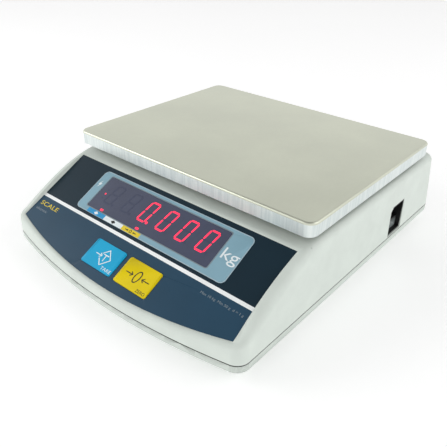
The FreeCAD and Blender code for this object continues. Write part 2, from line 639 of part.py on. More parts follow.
def lower_housing():
    body = new_body("base_tray")
    outline = case_outline(body, "base_outline", "foot_height", SIDE, FRONT, BACK,
                           "front_radius", "corner_radius")
    pad(body, outline, "base_height")
    tongue_gap = f"(shell_wall + fit_gap + {TONGUE_LEAN})"
    tongue = case_outline(
        body, "tongue_outline", "foot_height", f"({SIDE} - {tongue_gap})",
        f"({FRONT} + {tongue_gap})", f"({BACK} - {tongue_gap})", f"(front_radius - {tongue_gap})",
        f"(corner_radius - {tongue_gap})")
    pad(body, tongue, "base_height + seam_tongue")
    well_gap = f"(shell_wall + fit_gap + {TONGUE_LEAN} + tongue_wall)"
    well = case_outline(
        body, "well_outline", FLOOR, f"({SIDE} - {well_gap})", f"({FRONT} + {well_gap})",
        f"({BACK} - {well_gap})", f"(front_radius - {well_gap})", f"(corner_radius - {well_gap})")
    pocket(body, well, "overall_height", reverse=True)

    raised, holes = [body], []
    for number, (x, y) in enumerate(case_screw_places()):
        raised.append(rod(f"base_boss_{number}", x, y, "foot_height",
                          f"{SEAM} + seam_tongue - fit_gap", "boss_radius"))
        holes.append(rod(f"base_screw_hole_{number}", x, y, "0", "overall_height",
                         "screw_radius + screw_gap"))
        holes.append(rod(f"base_head_hole_{number}", x, y, "0", "foot_height + head_height",
                         "head_radius + screw_gap"))
    for number, (name, x, y) in enumerate(foot_places()):
        raised.append(rod(f"base_foot_boss_{number}", x, y, "foot_height",
                          f"{FLOOR} + boss_height", "foot_boss"))
        holes.append(rod(f"base_stud_hole_{number}", x, y, "0", "overall_height",
                         "stud_radius + stud_gap"))
    for number, (x, y) in enumerate(board_screw_places()):
        raised.append(rod(f"base_board_post_{number}", x, y, "foot_height",
                          f"{FLOOR} + main_rise", "boss_radius"))
        holes.append(rod(f"base_board_hole_{number}", x, y, "foot_height + base_floor/2",
                         "overall_height", "screw_radius + screw_gap"))
    for number, y in enumerate(cell_screw_rows("")):
        holes.append(rod(f"base_cell_hole_{number}", "0", y, "0", "overall_height",
                         "cell_screw_radius + screw_gap"))
    for number, (x, y) in enumerate(stop_places()):
        raised.append(rod(f"base_stop_boss_{number}", x, y, "foot_height",
                          f"{FLOOR} + boss_height", "2*stop_radius"))
        holes.append(rod(f"base_stop_hole_{number}", x, y, "foot_height + base_floor/2",
                         "overall_height", "stop_radius + screw_gap"))
    left, right, front, back = BATTERY
    holes.append(block("battery_opening", f"{left} - fit_gap", f"{right} + fit_gap",
                       f"{front} - fit_gap", f"{back} + fit_gap", "0", "2*foot_height"))
    holes.append(block("cover_opening", f"{left} - cover_margin", f"{right} + cover_margin",
                       f"{front} - cover_reach", f"{back} + cover_reach", "0",
                       "foot_height + cover_plate"))
    holes.append(block("tongue_gap", POWER_BACK, f"{SIDE} + shell_wall",
                       "power_middle - power_width/2", "power_middle + power_width/2",
                       f"{SEAM}", "power_high"))
    for number, y in enumerate(cover_screw_rows()):
        raised.append(rod(f"base_cover_boss_{number}", f"({left} + battery_width/2)", y,
                          "foot_height", f"{FLOOR} + cover_margin", "boss_radius"))
        holes.append(rod(f"base_cover_hole_{number}", f"({left} + battery_width/2)", y,
                         "foot_height", "overall_height", "screw_radius + screw_gap"))
    return piece(cut("lower_housing_tray", fuse("base_raised", raised), holes), "lower_housing")


# ---- shared layouts -------------------------------------------------------------------

BATTERY = ("(-battery_left)", "(battery_width - battery_left)", f"({PAN_MIDDLE} - battery_front)",
           f"({PAN_MIDDLE} - battery_front + battery_length)")


def foot_places():
    names = (("front_left", "-", "-"), ("front_right", "", "-"),
             ("back_left", "-", ""), ("back_right", "", ""))
    return [(name, f"({x}foot_spread/2)", f"({y}foot_reach/2)") for name, x, y in names]


def board_screw_places():
    across = "(main_width/2 - board_inset)"
    rows = (f"({BOARD_FRONT} + board_inset)", f"({BOARD_FRONT} + main_depth - board_inset)")
    return [(f"({sign}{across})", row) for row in rows for sign in ("-", "")]


def cell_screw_rows(sign):
    """Rows of the load cell's screws: at its back end, or at its front end with a minus."""
    end = f"({PAN_MIDDLE} + {sign or '1*'}(cell_length/2 - cell_spacer_length/2))"
    return [f"({end} - cell_screw_spacing/2)", f"({end} + cell_screw_spacing/2)"]


def stop_places():
    signs = [(x, y) for y in ("-", "") for x in ("-", "")]
    return [(f"({x}stop_spread/2)", f"({PAN_MIDDLE} + {y}post_reach/2)") for x, y in signs]


def cover_screw_rows():
    front, back = BATTERY[2:]
    return [f"({front} - cover_reach/2)", f"({back} + cover_reach/2)"]


def panel_shape(name, top, bottom, height, shrink="0"):
    """The panel's outline below a line across it: straight sides and a bowed lower edge."""
    body = new_body(name)
    sketch = new_sketch(body, name + "_outline", height=bottom)
    half = value(f"panel_width/2 - ({shrink})")
    upper = -value(f"({top}) + ({shrink})")
    corner = -value(f"panel_side - ({shrink})")
    bow = value("panel_bow")
    radius = (half ** 2 + bow ** 2) / (2 * bow)
    swing = math.asin(half / radius)
    hub = Vector(0, corner - bow + radius, 0)
    quarter = math.pi / 2
    first = sketch.addGeometry([
        arc(hub, radius, -quarter - swing, -quarter + swing),
        Part.LineSegment(Vector(half, corner, 0), Vector(half, upper, 0)),
        Part.LineSegment(Vector(half, upper, 0), Vector(-half, upper, 0)),
        Part.LineSegment(Vector(-half, upper, 0), Vector(-half, corner, 0)),
    ], False)[0]
    for number in range(4):
        join(sketch, "Coincident", first + number, first + (number + 1) % 4)
    half_width = f"(panel_width/2 - ({shrink}))"
    radius_rule = f"({half_width}*{half_width} + panel_bow*panel_bow)/(2*panel_bow)"
    for point, x, y in ((1, half_width, f"-(panel_side - ({shrink}))"),
                        (2, half_width, f"-(({top}) + ({shrink}))"),
                        (3, f"-{half_width}", f"-(({top}) + ({shrink}))")):
        limit(sketch, "DistanceX", -1, 1, first + point, 1, x)
        limit(sketch, "DistanceY", -1, 1, first + point, 1, y)
    limit(sketch, "DistanceX", -1, 1, first, 1, f"-{half_width}")
    limit(sketch, "DistanceY", -1, 1, first, 1, f"-(panel_side - ({shrink}))")
    limit(sketch, "Radius", first, radius_rule)
    pad(body, sketch, height)
    return body


def key_shape(name, middle, gap, bottom, top):
    return plate(name, f"({middle}) - key_width/2 - ({gap})", f"({middle}) + key_width/2 + ({gap})",
                 f"-(key_top + key_length + ({gap}))", f"-(key_top - ({gap}))",
                 f"key_round + ({gap})", bottom, top)


# ---- control panel --------------------------------------------------------------------

def panel_sheets():
    """The two printed overlays and the strip between them, with openings for what they frame."""
    gap = "fit_gap/2"
    upper = plate("display_sheet", f"-(panel_width/2 - {gap})", f"(panel_width/2 - {gap})",
                  "-stripe_top", f"-({gap})", "window_round/2", PANEL_FLOOR, "0")
    hole = plate("frame_hole", "-(frame_left + fit_gap/2)", "(frame_right + fit_gap/2)",
                 "-(frame_bottom + fit_gap/2)", "-(frame_top - fit_gap/2)", "frame_round",
                 PANEL_FLOOR + " - shell_wall", "cut_overshoot")
    piece(on_panel(cut("display_sheet_cut", upper, [hole])), "display_overlay")
    strip = plate("strip_sheet", f"-(panel_width/2 - {gap})", f"(panel_width/2 - {gap})",
                  "-(stripe_top + stripe_width)", "-stripe_top", "fit_gap", PANEL_FLOOR, "0")
    piece(on_panel(strip), "divider_strip")
    lower = panel_shape("keypad_sheet", "stripe_top + stripe_width - fit_gap/2", PANEL_FLOOR,
                        "overlay_thickness", gap)
    holes = [key_shape("tare_hole", "-tare_offset", "key_gap", PANEL_FLOOR, "cut_overshoot"),
             key_shape("zero_hole", "zero_offset", "key_gap", PANEL_FLOOR, "cut_overshoot")]
    piece(on_panel(cut("keypad_sheet_cut", lower, holes)), "keypad_overlay")


def display():
    frame = plate("frame_plate", "-frame_left", "frame_right", "-frame_bottom", "-frame_top",
                  "frame_round", PANEL_FLOOR, FRAME_TOP)
    opening = plate("frame_opening", "-(window_width/2 + fit_gap)", "(window_width/2 + fit_gap)",
                    "-(window_bottom + fit_gap)", "-(window_top - fit_gap)",
                    "window_round + fit_gap", PANEL_FLOOR, FRAME_TOP)
    piece(on_panel(cut("frame_ring", frame, [opening])), "display_frame")
    window = plate("window_sheet", "-window_width/2", "window_width/2", "-window_bottom",
                   "-window_top", "window_round", PANEL_FLOOR, WINDOW_FACE)
    piece(on_panel(window), "display_window")
    face = f"({PANEL_BACK} - fit_gap)"
    back = f"({face} - digit_depth)"
    for number in range(DIGITS):
        left = f"(digit_pitch*{number} - digit_left)"
        module = block(f"digit_{number + 1}", left, f"{left} + digit_width",
                       "-(digit_top + digit_length)", "-digit_top", back, face)
        piece(set_in_panel(module), f"led_digit_{number + 1}")
    low = "-(digit_top + digit_length + board_margin/2)"
    board = plate("display_sheet_board", "-(digit_left + board_margin)",
                  f"(digit_pitch*{DIGITS} - digit_left + board_margin)", low,
                  "-(digit_top - board_margin/2)", "window_round", f"({back} - board_thickness)", back)
    piece(on_panel(board), "display_board")


def set_in_panel(item):
    """Give a box drawn in the panel's own directions its place on the slope."""
    moved = doc.addObject("Part::Compound", item.Name + "_on_panel")
    moved.Links = [item]
    return on_panel(moved)


def keys():
    board_top = f"({PANEL_FLOOR} - key_depth - key_travel - 2*fit_gap - plunger_height - switch_height)"
    switches = []
    for name, middle in (("tare", "-tare_offset"), ("zero", "zero_offset")):
        cap = key_shape(name + "_cap", middle, "0", f"{PANEL_FLOOR} - key_depth", "key_rise")
        piece(on_panel(cap), name + "_key")
        row = "-(key_top + key_length/2)"
        case = block(name + "_switch_case", f"({middle}) - switch_size/2",
                     f"({middle}) + switch_size/2", f"{row} - switch_size/2",
                     f"{row} + switch_size/2", board_top, f"{board_top} + switch_height")
        plunger = rod(name + "_switch_plunger", middle, row, f"{board_top} + switch_height",
                      f"{board_top} + switch_height + plunger_height", "plunger_radius")
        switches.append(fuse(name + "_switch", [case, plunger]))
    piece(on_panel(group("switches", switches)), "key_switches")
    board = plate("key_board_sheet", "-(tare_offset + key_width/2)", "(zero_offset + key_width/2)",
                  "-(key_top + key_length)", "-key_top", "key_round",
                  f"({board_top} - board_thickness)", board_top)
    piece(on_panel(board), "key_board")


# ---- pan, carrier and load cell -------------------------------------------------------

def weighing_pan():
    body = new_body("pan_body")
    sketch = new_sketch(body, "pan_outline", height="overall_height - pan_rim")
    rounded_rectangle(sketch, "-pan_width/2", "pan_width/2", PAN_FRONT,
                      f"{PAN_FRONT} + pan_depth", "pan_corner")
    pad(body, sketch, "pan_rim")
    doc.recompute()
    top = value("overall_height")
    edges = [f"Edge{number}" for number, edge in enumerate(body.Shape.Edges, start=1)
             if all(abs(corner.Z - top) < 1e-6 for corner in edge.Vertexes)]
    base = body.Tip
    fillet = body.newObject("PartDesign::Fillet", "pan_edge_round")
    fillet.Base = (base, edges)
    bind(fillet, "Radius", "pan_edge")
    body.Tip = fillet
    inner = new_sketch(body, "pan_hollow", height="overall_height - pan_rim")
    rounded_rectangle(inner, "-(pan_width/2 - pan_sheet)", "(pan_width/2 - pan_sheet)",
                      f"{PAN_FRONT} + pan_sheet", f"{PAN_FRONT} + pan_depth - pan_sheet",
                      "pan_corner - pan_sheet")
    pocket(body, inner, "pan_rim - pan_sheet", reverse=True)
    return piece(body, "weighing_pan")


def pan_carrier():
    """A cast frame: two crossbars joined by a beam over the load cell, and four posts."""
    body = new_body("carrier_body")
    sketch = new_sketch(body, "carrier_outline", height="carrier_height")
    end = "(post_spread/2 + post_radius)"
    beam = "(cell_width/2)"
    rows = [f"({PAN_MIDDLE} - post_reach/2 - carrier_bar/2)",
            f"({PAN_MIDDLE} - post_reach/2 + carrier_bar/2)",
            f"({PAN_MIDDLE} + post_reach/2 - carrier_bar/2)",
            f"({PAN_MIDDLE} + post_reach/2 + carrier_bar/2)"]
    polygon(sketch, [(f"-{end}", rows[0]), (end, rows[0]), (end, rows[1]), (beam, rows[1]),
                     (beam, rows[2]), (end, rows[2]), (end, rows[3]), (f"-{end}", rows[3]),
                     (f"-{end}", rows[2]), (f"-{beam}", rows[2]), (f"-{beam}", rows[1]),
                     (f"-{end}", rows[1])])
    pad(body, sketch, "carrier_plate")
    parts, holes = [body], []
    for number, (x, y) in enumerate(post_places()):
        parts.append(rod(f"carrier_post_{number}", x, y, "carrier_height", POST_TOP, "post_radius"))
    for number, sign in enumerate(("-", "")):
        row = f"({PAN_MIDDLE} + {sign}post_reach/2)"
        parts.append(block(f"carrier_rib_{number}", "-post_spread/2", "post_spread/2",
                           f"{row} - rib_width/2", f"{row} + rib_width/2", "carrier_height",
                           f"{CARRIER_TOP} + carrier_rib"))
    for number, sign in enumerate(("-", "")):
        side = f"({sign}(cell_width/2 - rib_width/2))"
        parts.append(block(f"carrier_beam_rib_{number}", f"{side} - rib_width/2",
                           f"{side} + rib_width/2", f"({PAN_MIDDLE} - post_reach/2)",
                           f"({PAN_MIDDLE} + post_reach/2)", "carrier_height",
                           f"{CARRIER_TOP} + carrier_rib"))
    for number, y in enumerate(cell_screw_rows("-")):
        holes.append(rod(f"carrier_hole_{number}", "0", y, "0", "overall_height",
                         "cell_screw_radius + screw_gap"))
    piece(cut("carrier_casting", fuse("carrier_solid", parts), holes), "pan_carrier")
    pads = [rod(f"pad_{number}", x, y, POST_TOP, PAD_TOP, "post_radius + stud_gap")
            for number, (x, y) in enumerate(post_places())]
    piece(group("pads", pads), "carrier_pads")


def load_cell():
    front = f"({PAN_MIDDLE} - cell_length/2)"
    back = f"({PAN_MIDDLE} + cell_length/2)"
    middle = f"({CELL_LOW} + cell_height/2)"
    bar = block("cell_bar", "-cell_width/2", "cell_width/2", front, back, CELL_LOW, CELL_HIGH)
    holes = [cross_rod(f"cell_bore_{number}", "-cell_width", "cell_width",
                       f"({PAN_MIDDLE} {sign} cell_bore_spacing/2)", middle, "cell_bore")
             for number, sign in enumerate("-+")]
    holes.append(block("cell_slot_block", "-cell_width", "cell_width",
                       f"({PAN_MIDDLE} - cell_bore_spacing/2)",
                       f"({PAN_MIDDLE} + cell_bore_spacing/2)",
                       f"{middle} - cell_slot/2", f"{middle} + cell_slot/2"))
    for number, y in enumerate(cell_screw_rows("")):
        holes.append(rod(f"cell_low_hole_{number}", "0", y, "0",
                         f"{CELL_LOW} + cell_screw_grip + fit_gap", "cell_screw_radius + screw_gap"))
    for number, y in enumerate(cell_screw_rows("-")):
        holes.append(rod(f"cell_high_hole_{number}", "0", y,
                         f"{CELL_HIGH} - cell_screw_grip - fit_gap", "overall_height",
                         "cell_screw_radius + screw_gap"))
    piece(cut("cell_body", bar, holes), "load_cell")

    lower = block("low_spacer", "-cell_width/2", "cell_width/2", f"{back} - cell_spacer_length",
                  back, FLOOR, CELL_LOW)
    low_holes = [rod(f"low_spacer_hole_{number}", "0", y, "0", "overall_height",
                     "cell_screw_radius + screw_gap")
                 for number, y in enumerate(cell_screw_rows(""))]
    piece(cut("low_spacer_cut", lower, low_holes), "load_cell_base_spacer")
    upper = block("high_spacer", "-cell_width/2", "cell_width/2", front,
                  f"{front} + cell_spacer_length", CELL_HIGH, "carrier_height")
    high_holes = [rod(f"high_spacer_hole_{number}", "0", y, "0", "overall_height",
                      "cell_screw_radius + screw_gap")
                  for number, y in enumerate(cell_screw_rows("-"))]
    piece(cut("high_spacer_cut", upper, high_holes), "load_cell_top_spacer")

    low_screws = []
    for number, y in enumerate(cell_screw_rows("")):
        shank = rod(f"low_screw_{number}", "0", y, "foot_height - head_height",
                    f"{CELL_LOW} + cell_screw_grip", "cell_screw_radius")
        head = rod(f"low_head_{number}", "0", y, "foot_height - 2*head_height", "foot_height",
                   "1.7*cell_screw_radius")
        low_screws.append(fuse(f"low_bolt_{number}", [shank, head]))
    piece(group("low_bolts", low_screws), "load_cell_base_screws")
    high_screws = []
    for number, y in enumerate(cell_screw_rows("-")):
        shank = rod(f"high_screw_{number}", "0", y, f"{CELL_HIGH} - cell_screw_grip",
                    f"{CARRIER_TOP} + head_height", "cell_screw_radius")
        head = rod(f"high_head_{number}", "0", y, CARRIER_TOP, f"{CARRIER_TOP} + 2*head_height",
                   "1.7*cell_screw_radius")
        high_screws.append(fuse(f"high_bolt_{number}", [shank, head]))
    piece(group("high_bolts", high_screws), "carrier_screws")

    stops = []
    for number, (x, y) in enumerate(stop_places()):
        stops.append(rod(f"stop_{number}", x, y, f"{FLOOR}", "carrier_height - stop_gap",
                         "stop_radius"))
    piece(group("stops", stops), "overload_stops")


# ---- feet and case screws -------------------------------------------------------------

def hexagon(name, x, y, low, high, radius):
    """An upright six-sided nut blank."""
    item = doc.addObject("Part::Prism", name)
    item.Polygon = 6
    bind(item, "Circumradius", radius)
    bind(item, "Height", f"({high}) - ({low})")
    place(item, x, y, low)
    return item


def feet():
    nuts = []
    for name, x, y in foot_places():
        rubber = rod(name + "_rubber", x, y, "0", "foot_pad", "foot_radius")
        piece(rubber, f"foot_pad_{name}")
        flange = rod(name + "_flange", x, y, "foot_pad", "foot_pad + foot_flange",
                     "foot_radius - foot_flange")
        stud = rod(name + "_stud", x, y, "foot_pad", "foot_pad + foot_flange + stud_length",
                   "stud_radius")
        piece(fuse(name + "_foot", [flange, stud]), f"foot_stud_{name}")
        blank = hexagon(name + "_nut", x, y, "foot_height - nut_height", "foot_height", "nut_radius")
        thread = rod(name + "_thread", x, y, "0", "overall_height", "stud_radius + stud_gap")
        nuts.append(cut(name + "_lock_nut", blank, [thread]))
    piece(group("nuts", nuts), "foot_lock_nuts")


def screw_set(label, places, low, length, up=True):
    """A group of screws, each head at the given height with its shank above or below it."""
    screws = []
    for number, (x, y) in enumerate(places):
        head = rod(f"{label}_head_{number}", x, y, low, f"({low}) + head_height", "head_radius")
        if up:
            shank = rod(f"{label}_shank_{number}", x, y, low,
                        f"({low}) + head_height + ({length})", "screw_radius")
        else:
            shank = rod(f"{label}_shank_{number}", x, y, f"({low}) - ({length})",
                        f"({low}) + head_height", "screw_radius")
        screws.append(fuse(f"{label}_screw_{number}", [head, shank]))
    return piece(group(label + "_set", screws), label)


# ---- battery, transformer, power unit and boards --------------------------------------

def battery():
    left, right, front, back = BATTERY
    low, high = FLOOR, f"({FLOOR} + battery_height)"
    piece(block("battery_block", left, right, front, back, low, high), "battery")
    middle = f"({left} + battery_width/2)"
    terminals = [block(f"terminal_{number}", f"({middle} {sign} battery_width/4) - stop_radius",
                       f"({middle} {sign} battery_width/4) + stop_radius",
                       f"{front} - strap_width/4", front, f"({high}) - head_height*4",
                       f"({high}) - head_height*4 + strap_sheet")
                 for number, sign in enumerate("-+")]
    piece(group("terminals", terminals), "battery_terminals")
    row = f"({front} + battery_length/2)"
    outer = block("strap_outer", f"{left} - strap_sheet", f"{right} + strap_sheet",
                  f"{row} - strap_width/2", f"{row} + strap_width/2", low, f"({high}) + strap_sheet")
    inner = block("strap_inner", left, right, f"{row} - strap_width", f"{row} + strap_width",
                  "0", high)
    piece(cut("strap", outer, [inner]), "battery_strap")
    cover = block("cover_sheet", f"{left} - cover_margin + fit_gap",
                  f"{right} + cover_margin - fit_gap", f"{front} - cover_reach + fit_gap",
                  f"{back} + cover_reach - fit_gap", "foot_height", "foot_height + cover_plate")
    holes = [rod(f"cover_screw_hole_{number}", middle, y, "0", "overall_height",
                 "screw_radius + screw_gap") for number, y in enumerate(cover_screw_rows())]
    piece(cut("cover_sheet_cut", cover, holes), "battery_cover")
    screw_set("battery_cover_screws", [(middle, y) for y in cover_screw_rows()],
              "foot_height - head_height", "cover_plate + base_floor")


def transformer():
    left, right = "(transformer_x - core_width/2)", "(transformer_x + core_width/2)"
    core = block("core_block", left, right, f"{TRANSFORMER_Y} - core_depth/2",
                 f"{TRANSFORMER_Y} + core_depth/2", FLOOR, f"{FLOOR} + core_height")
    window = block("core_window", f"{left} + core_limb", f"{right} - core_limb",
                   f"{TRANSFORMER_Y} - core_depth", f"{TRANSFORMER_Y} + core_depth",
                   f"{FLOOR} + (core_height - coil_height)/2",
                   f"{FLOOR} + (core_height + coil_height)/2")
    piece(cut("core_frame", core, [window]), "transformer_core")
    coil = block("coil_block", "transformer_x - coil_width/2", "transformer_x + coil_width/2",
                 f"{TRANSFORMER_Y} - coil_depth/2", f"{TRANSFORMER_Y} + coil_depth/2",
                 f"{FLOOR} + (core_height - coil_height)/2 + fit_gap",
                 f"{FLOOR} + (core_height + coil_height)/2 - fit_gap")
    piece(coil, "transformer_coil")


def power_shape(name, gap, low_x, high_x):
    """The power opening's outline inside a gap all round, its upper front corner cut off."""
    body = new_body(name)
    sketch = new_sketch(body, name + "_outline", "YZ_Plane", low_x)
    front = f"(power_middle - power_width/2 + ({gap}))"
    back = f"(power_middle + power_width/2 - ({gap}))"
    low, high = f"(power_low + ({gap}))", f"(power_high - ({gap}))"
    polygon(sketch, [(front, low), (back, low), (back, high), (f"{front} + power_corner", high),
                     (front, f"{high} - power_corner")])
    pad(body, sketch, f"({high_x}) - ({low_x})")
    return body


def power_unit():
    """A bezel let into the side wall, the mains inlet behind it and the rocker's frame below."""
    front = "(power_middle - power_width/2 + fit_gap)"
    back = "(power_middle + power_width/2 - fit_gap)"
    low, high = "(power_low + fit_gap)", "(power_high - fit_gap)"
    split = "(socket_low - power_wall/2)"
    lean = f"side_lean*(power_high - {SEAM})/(overall_height - {SEAM})"
    rim = power_shape("bezel_outside", "fit_gap", POWER_FACE, f"{SIDE} - {lean} - fit_gap")
    well = power_shape("bezel_inside", "fit_gap + power_wall", POWER_FACE, SIDE)
    piece(cut("bezel_frame", rim, [well]), "power_bezel")

    inlet = block("inlet_case", POWER_BACK, POWER_FACE, front, back, split, high)
    cavity = block("socket_cavity", f"{POWER_FACE} - socket_depth", SIDE,
                   f"{front} + power_wall", f"{back} - power_wall", "socket_low",
                   f"{high} - power_wall")
    pins, slots = [], []
    middle = f"((socket_low + {high} - power_wall)/2)"
    for step, sign in ((-1, "-"), (0, "+"), (1, "-")):
        across = f"(power_middle + {step}*pin_spacing)"
        centre = f"({middle} {sign} pin_thickness)"
        for kind, gap, made in (("pin", "0", pins), ("slot", "stud_gap", slots)):
            made.append(block(f"inlet_{kind}_{len(made)}", f"{POWER_BACK} - pin_tail",
                              f"{POWER_FACE} - socket_depth + pin_length",
                              f"{across} - pin_thickness/2 - {gap}",
                              f"{across} + pin_thickness/2 + {gap}",
                              f"{centre} - pin_width/2 - {gap}", f"{centre} + pin_width/2 + {gap}"))
    piece(cut("inlet_body", inlet, [cavity] + slots), "power_inlet")
    piece(group("pins", pins), "inlet_pins")

    depth = "(rocker_body + 2*rocker_rise)"
    holder = block("rocker_case", f"{POWER_FACE} - {depth} - power_wall", POWER_FACE, front, back,
                   low, split)
    seat = block("rocker_seat", f"{POWER_FACE} - {depth}", SIDE,
                 "power_middle - rocker_width/2 - rocker_gap",
                 "power_middle + rocker_width/2 + rocker_gap", "rocker_low - rocker_gap",
                 "rocker_low + rocker_height + rocker_gap")
    axle_hole = rod("axle_hole", ROCKER_X, "power_middle", "rocker_low - rocker_gap - power_wall/2",
                    "rocker_low + rocker_height + rocker_gap + power_wall/2",
                    "rocker_pin + stud_gap")
    piece(cut("rocker_holder", holder, [seat, axle_hole]), "rocker_frame")
    rocker()


ROCKER_X = f"({POWER_FACE} - rocker_body/2)"


def rocker():
    """A shallow V with a round back, tipped so that its back end stands out."""
    body = new_body("rocker_body_shape")
    sketch = new_sketch(body, "rocker_outline", height="rocker_low")
    face = "(rocker_body/2)"
    polygon(sketch, [(face, "0"), (f"{face} + rocker_rise", "rocker_width/2"),
                     ("0", "rocker_width/2"), ("(-rocker_body/2)", "rocker_width/5"),
                     ("(-rocker_body/2)", "-rocker_width/5"), ("0", "-rocker_width/2"),
                     (f"{face} + rocker_rise", "-rocker_width/2")])
    pad(body, sketch, "rocker_height")
    pivot = new_sketch(body, "rocker_pivot", height="rocker_low - rocker_gap - power_wall/3")
    circle(pivot, "0", "0", "rocker_pin")
    pad(body, pivot, "rocker_height + 2*rocker_gap + 2*power_wall/3")
    body.Placement = Placement(Vector(), Rotation(Vector(0, 0, 1), value("rocker_tilt")))
    place(body, ROCKER_X, "power_middle", "0")
    bind(body, "Placement.Rotation.Angle", "rocker_tilt")
    return piece(body, "rocker")


def boards():
    low = f"({FLOOR} + main_rise)"
    top = f"({low} + board_thickness)"
    sheet_body = plate("main_sheet", "-main_width/2", "main_width/2", BOARD_FRONT,
                       f"({BOARD_FRONT} + main_depth)", "key_round", low, top)
    holes = [rod(f"main_hole_{number}", x, y, "0", "overall_height", "screw_radius + screw_gap")
             for number, (x, y) in enumerate(board_screw_places())]
    piece(cut("main_sheet_cut", sheet_body, holes), "main_board")
    screw_set("board_screws", board_screw_places(), top, "main_rise", up=False)
    middle = f"({BOARD_FRONT} + main_depth/2)"
    chip = block("chip_block", "-chip_side/2", "chip_side/2", f"{middle} - chip_side/2",
                 f"{middle} + chip_side/2", top, f"{top} + chip_height")
    converter = block("converter_block", "2*chip_side", "3*chip_side", f"{middle} - chip_side/3",
                      f"{middle} + chip_side/3", top, f"{top} + chip_height")
    piece(group("chips", [chip, converter]), "board_chips")
    jacks = [block(f"jack_{number}", f"{place_x} - jack_height", f"{place_x} + jack_height",
                   f"({BOARD_FRONT} + main_depth - jack_height)",
                   f"({BOARD_FRONT} + main_depth)", top,
                   f"{top} + jack_height")
             for number, place_x in enumerate(("(-3*chip_side)", "(0*chip_side)", "(3*chip_side)"))]
    piece(group("jacks", jacks), "board_connectors")


def lead(label, route, radius):
    """A round lead along straight runs with tangent arcs at the corners between them."""
    points = [Vector(*(value(part) for part in spot)) for spot in route]
    edges, last = [], points[0]
    for before, corner, after in zip(points, points[1:], points[2:]):
        inward, outward = (before - corner), (after - corner)
        setback = 0.45 * min(inward.Length, outward.Length)
        start = corner + inward.normalize() * setback
        end = corner + outward.normalize() * setback
        turn = start.sub(corner).getAngle(end.sub(corner))
        depth = setback / math.cos(turn / 2) - setback * math.tan(turn / 2)
        through = corner + ((start + end) * 0.5 - corner).normalize() * depth
        edges.append(Part.LineSegment(last, start).toShape())
        edges.append(Part.Arc(start, through, end).toShape())
        last = end
    edges.append(Part.LineSegment(last, points[-1]).toShape())
    path = Part.Wire(edges)
    ring = Part.Circle(points[0], points[1] - points[0], value(radius)).toShape()
    item = doc.addObject("Part::Feature", label + "_lead")
    item.Shape = path.makePipeShell([Part.Wire([ring])], True, True)
    return piece(item, label)


def leads():
    top = f"({FLOOR} + main_rise + board_thickness + jack_height/2)"
    plug = f"({BOARD_FRONT} + main_depth)"
    past = f"({plug} + lead_run)"
    cell_end, cell_mid = f"({PAN_MIDDLE} - cell_length/2)", f"{CELL_LOW} + cell_height/3"
    lead("load_cell_lead", [("0", plug, top), ("0", past, top),
                            ("0", f"({cell_end} - lead_run)", cell_mid), ("0", cell_end, cell_mid)],
         "lead_radius")
    coil, core_mid = f"({TRANSFORMER_Y} - coil_depth/2)", f"{FLOOR} + core_height/2"
    lead("transformer_lead", [("(3*chip_side)", plug, top), ("(3*chip_side)", past, top),
                              ("transformer_x", f"({past} + lead_run/2)", core_mid),
                              ("transformer_x", coil, core_mid)], "lead_radius")
    middle, battery_mid = "(battery_width/2 - battery_left)", f"{FLOOR} + battery_height/2"
    lead("battery_lead", [("(-3*chip_side)", plug, top), ("(-3*chip_side)", past, top),
                          (middle, f"({PAN_MIDDLE} - battery_front - 2*lead_run)", battery_mid),
                          (middle, f"({PAN_MIDDLE} - battery_front)", battery_mid)], "lead_radius")


upper_housing()
lower_housing()
panel_sheets()
display()
keys()
weighing_pan()
pan_carrier()
load_cell()
feet()
screw_set("housing_screws", case_screw_places(), "foot_height", "case_screw_length")
battery()
transformer()
power_unit()
boards()
leads()

doc.recompute()
faults = [item.Name for item in doc.Objects if "Invalid" in item.State or "Error" in item.State]
faults += [item.Label for item in pieces if item.Shape.isNull() or not item.Shape.isValid()]
if faults:
    raise RuntimeError("failed objects: " + ", ".join(faults))
os.makedirs("parts", exist_ok=True)
for item in pieces:
    item.Shape.exportStep(f"parts/{item.Label}.step")
print(len(pieces), "pieces written")
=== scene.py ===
import json
import math

import bpy
from mathutils import Matrix, Vector


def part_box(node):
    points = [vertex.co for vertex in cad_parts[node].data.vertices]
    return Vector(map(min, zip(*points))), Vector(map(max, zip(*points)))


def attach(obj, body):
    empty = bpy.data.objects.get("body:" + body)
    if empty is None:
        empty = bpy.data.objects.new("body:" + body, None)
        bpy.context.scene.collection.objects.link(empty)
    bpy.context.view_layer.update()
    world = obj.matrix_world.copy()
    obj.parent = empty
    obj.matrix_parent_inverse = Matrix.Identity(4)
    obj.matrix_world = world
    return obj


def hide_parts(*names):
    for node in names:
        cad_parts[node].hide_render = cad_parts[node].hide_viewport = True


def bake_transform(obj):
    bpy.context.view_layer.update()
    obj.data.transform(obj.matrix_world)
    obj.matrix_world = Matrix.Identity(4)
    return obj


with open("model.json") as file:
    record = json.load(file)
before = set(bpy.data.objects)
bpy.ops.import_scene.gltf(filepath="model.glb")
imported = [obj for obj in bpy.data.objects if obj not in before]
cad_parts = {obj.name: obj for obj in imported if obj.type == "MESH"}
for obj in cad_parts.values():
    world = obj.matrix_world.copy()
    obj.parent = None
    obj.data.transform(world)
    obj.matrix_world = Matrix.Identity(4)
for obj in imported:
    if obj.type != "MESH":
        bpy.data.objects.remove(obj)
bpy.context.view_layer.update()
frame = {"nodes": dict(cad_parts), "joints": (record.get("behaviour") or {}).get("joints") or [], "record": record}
nodes = frame["nodes"]
MM = 0.001
SEAM_GAP = 0.5
PAN_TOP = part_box("weighing_pan")[1][2]
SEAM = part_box("upper_housing")[0][2] - SEAM_GAP * MM

# ---- the control panel's own directions: x across, y up the slope, z out of it ----------

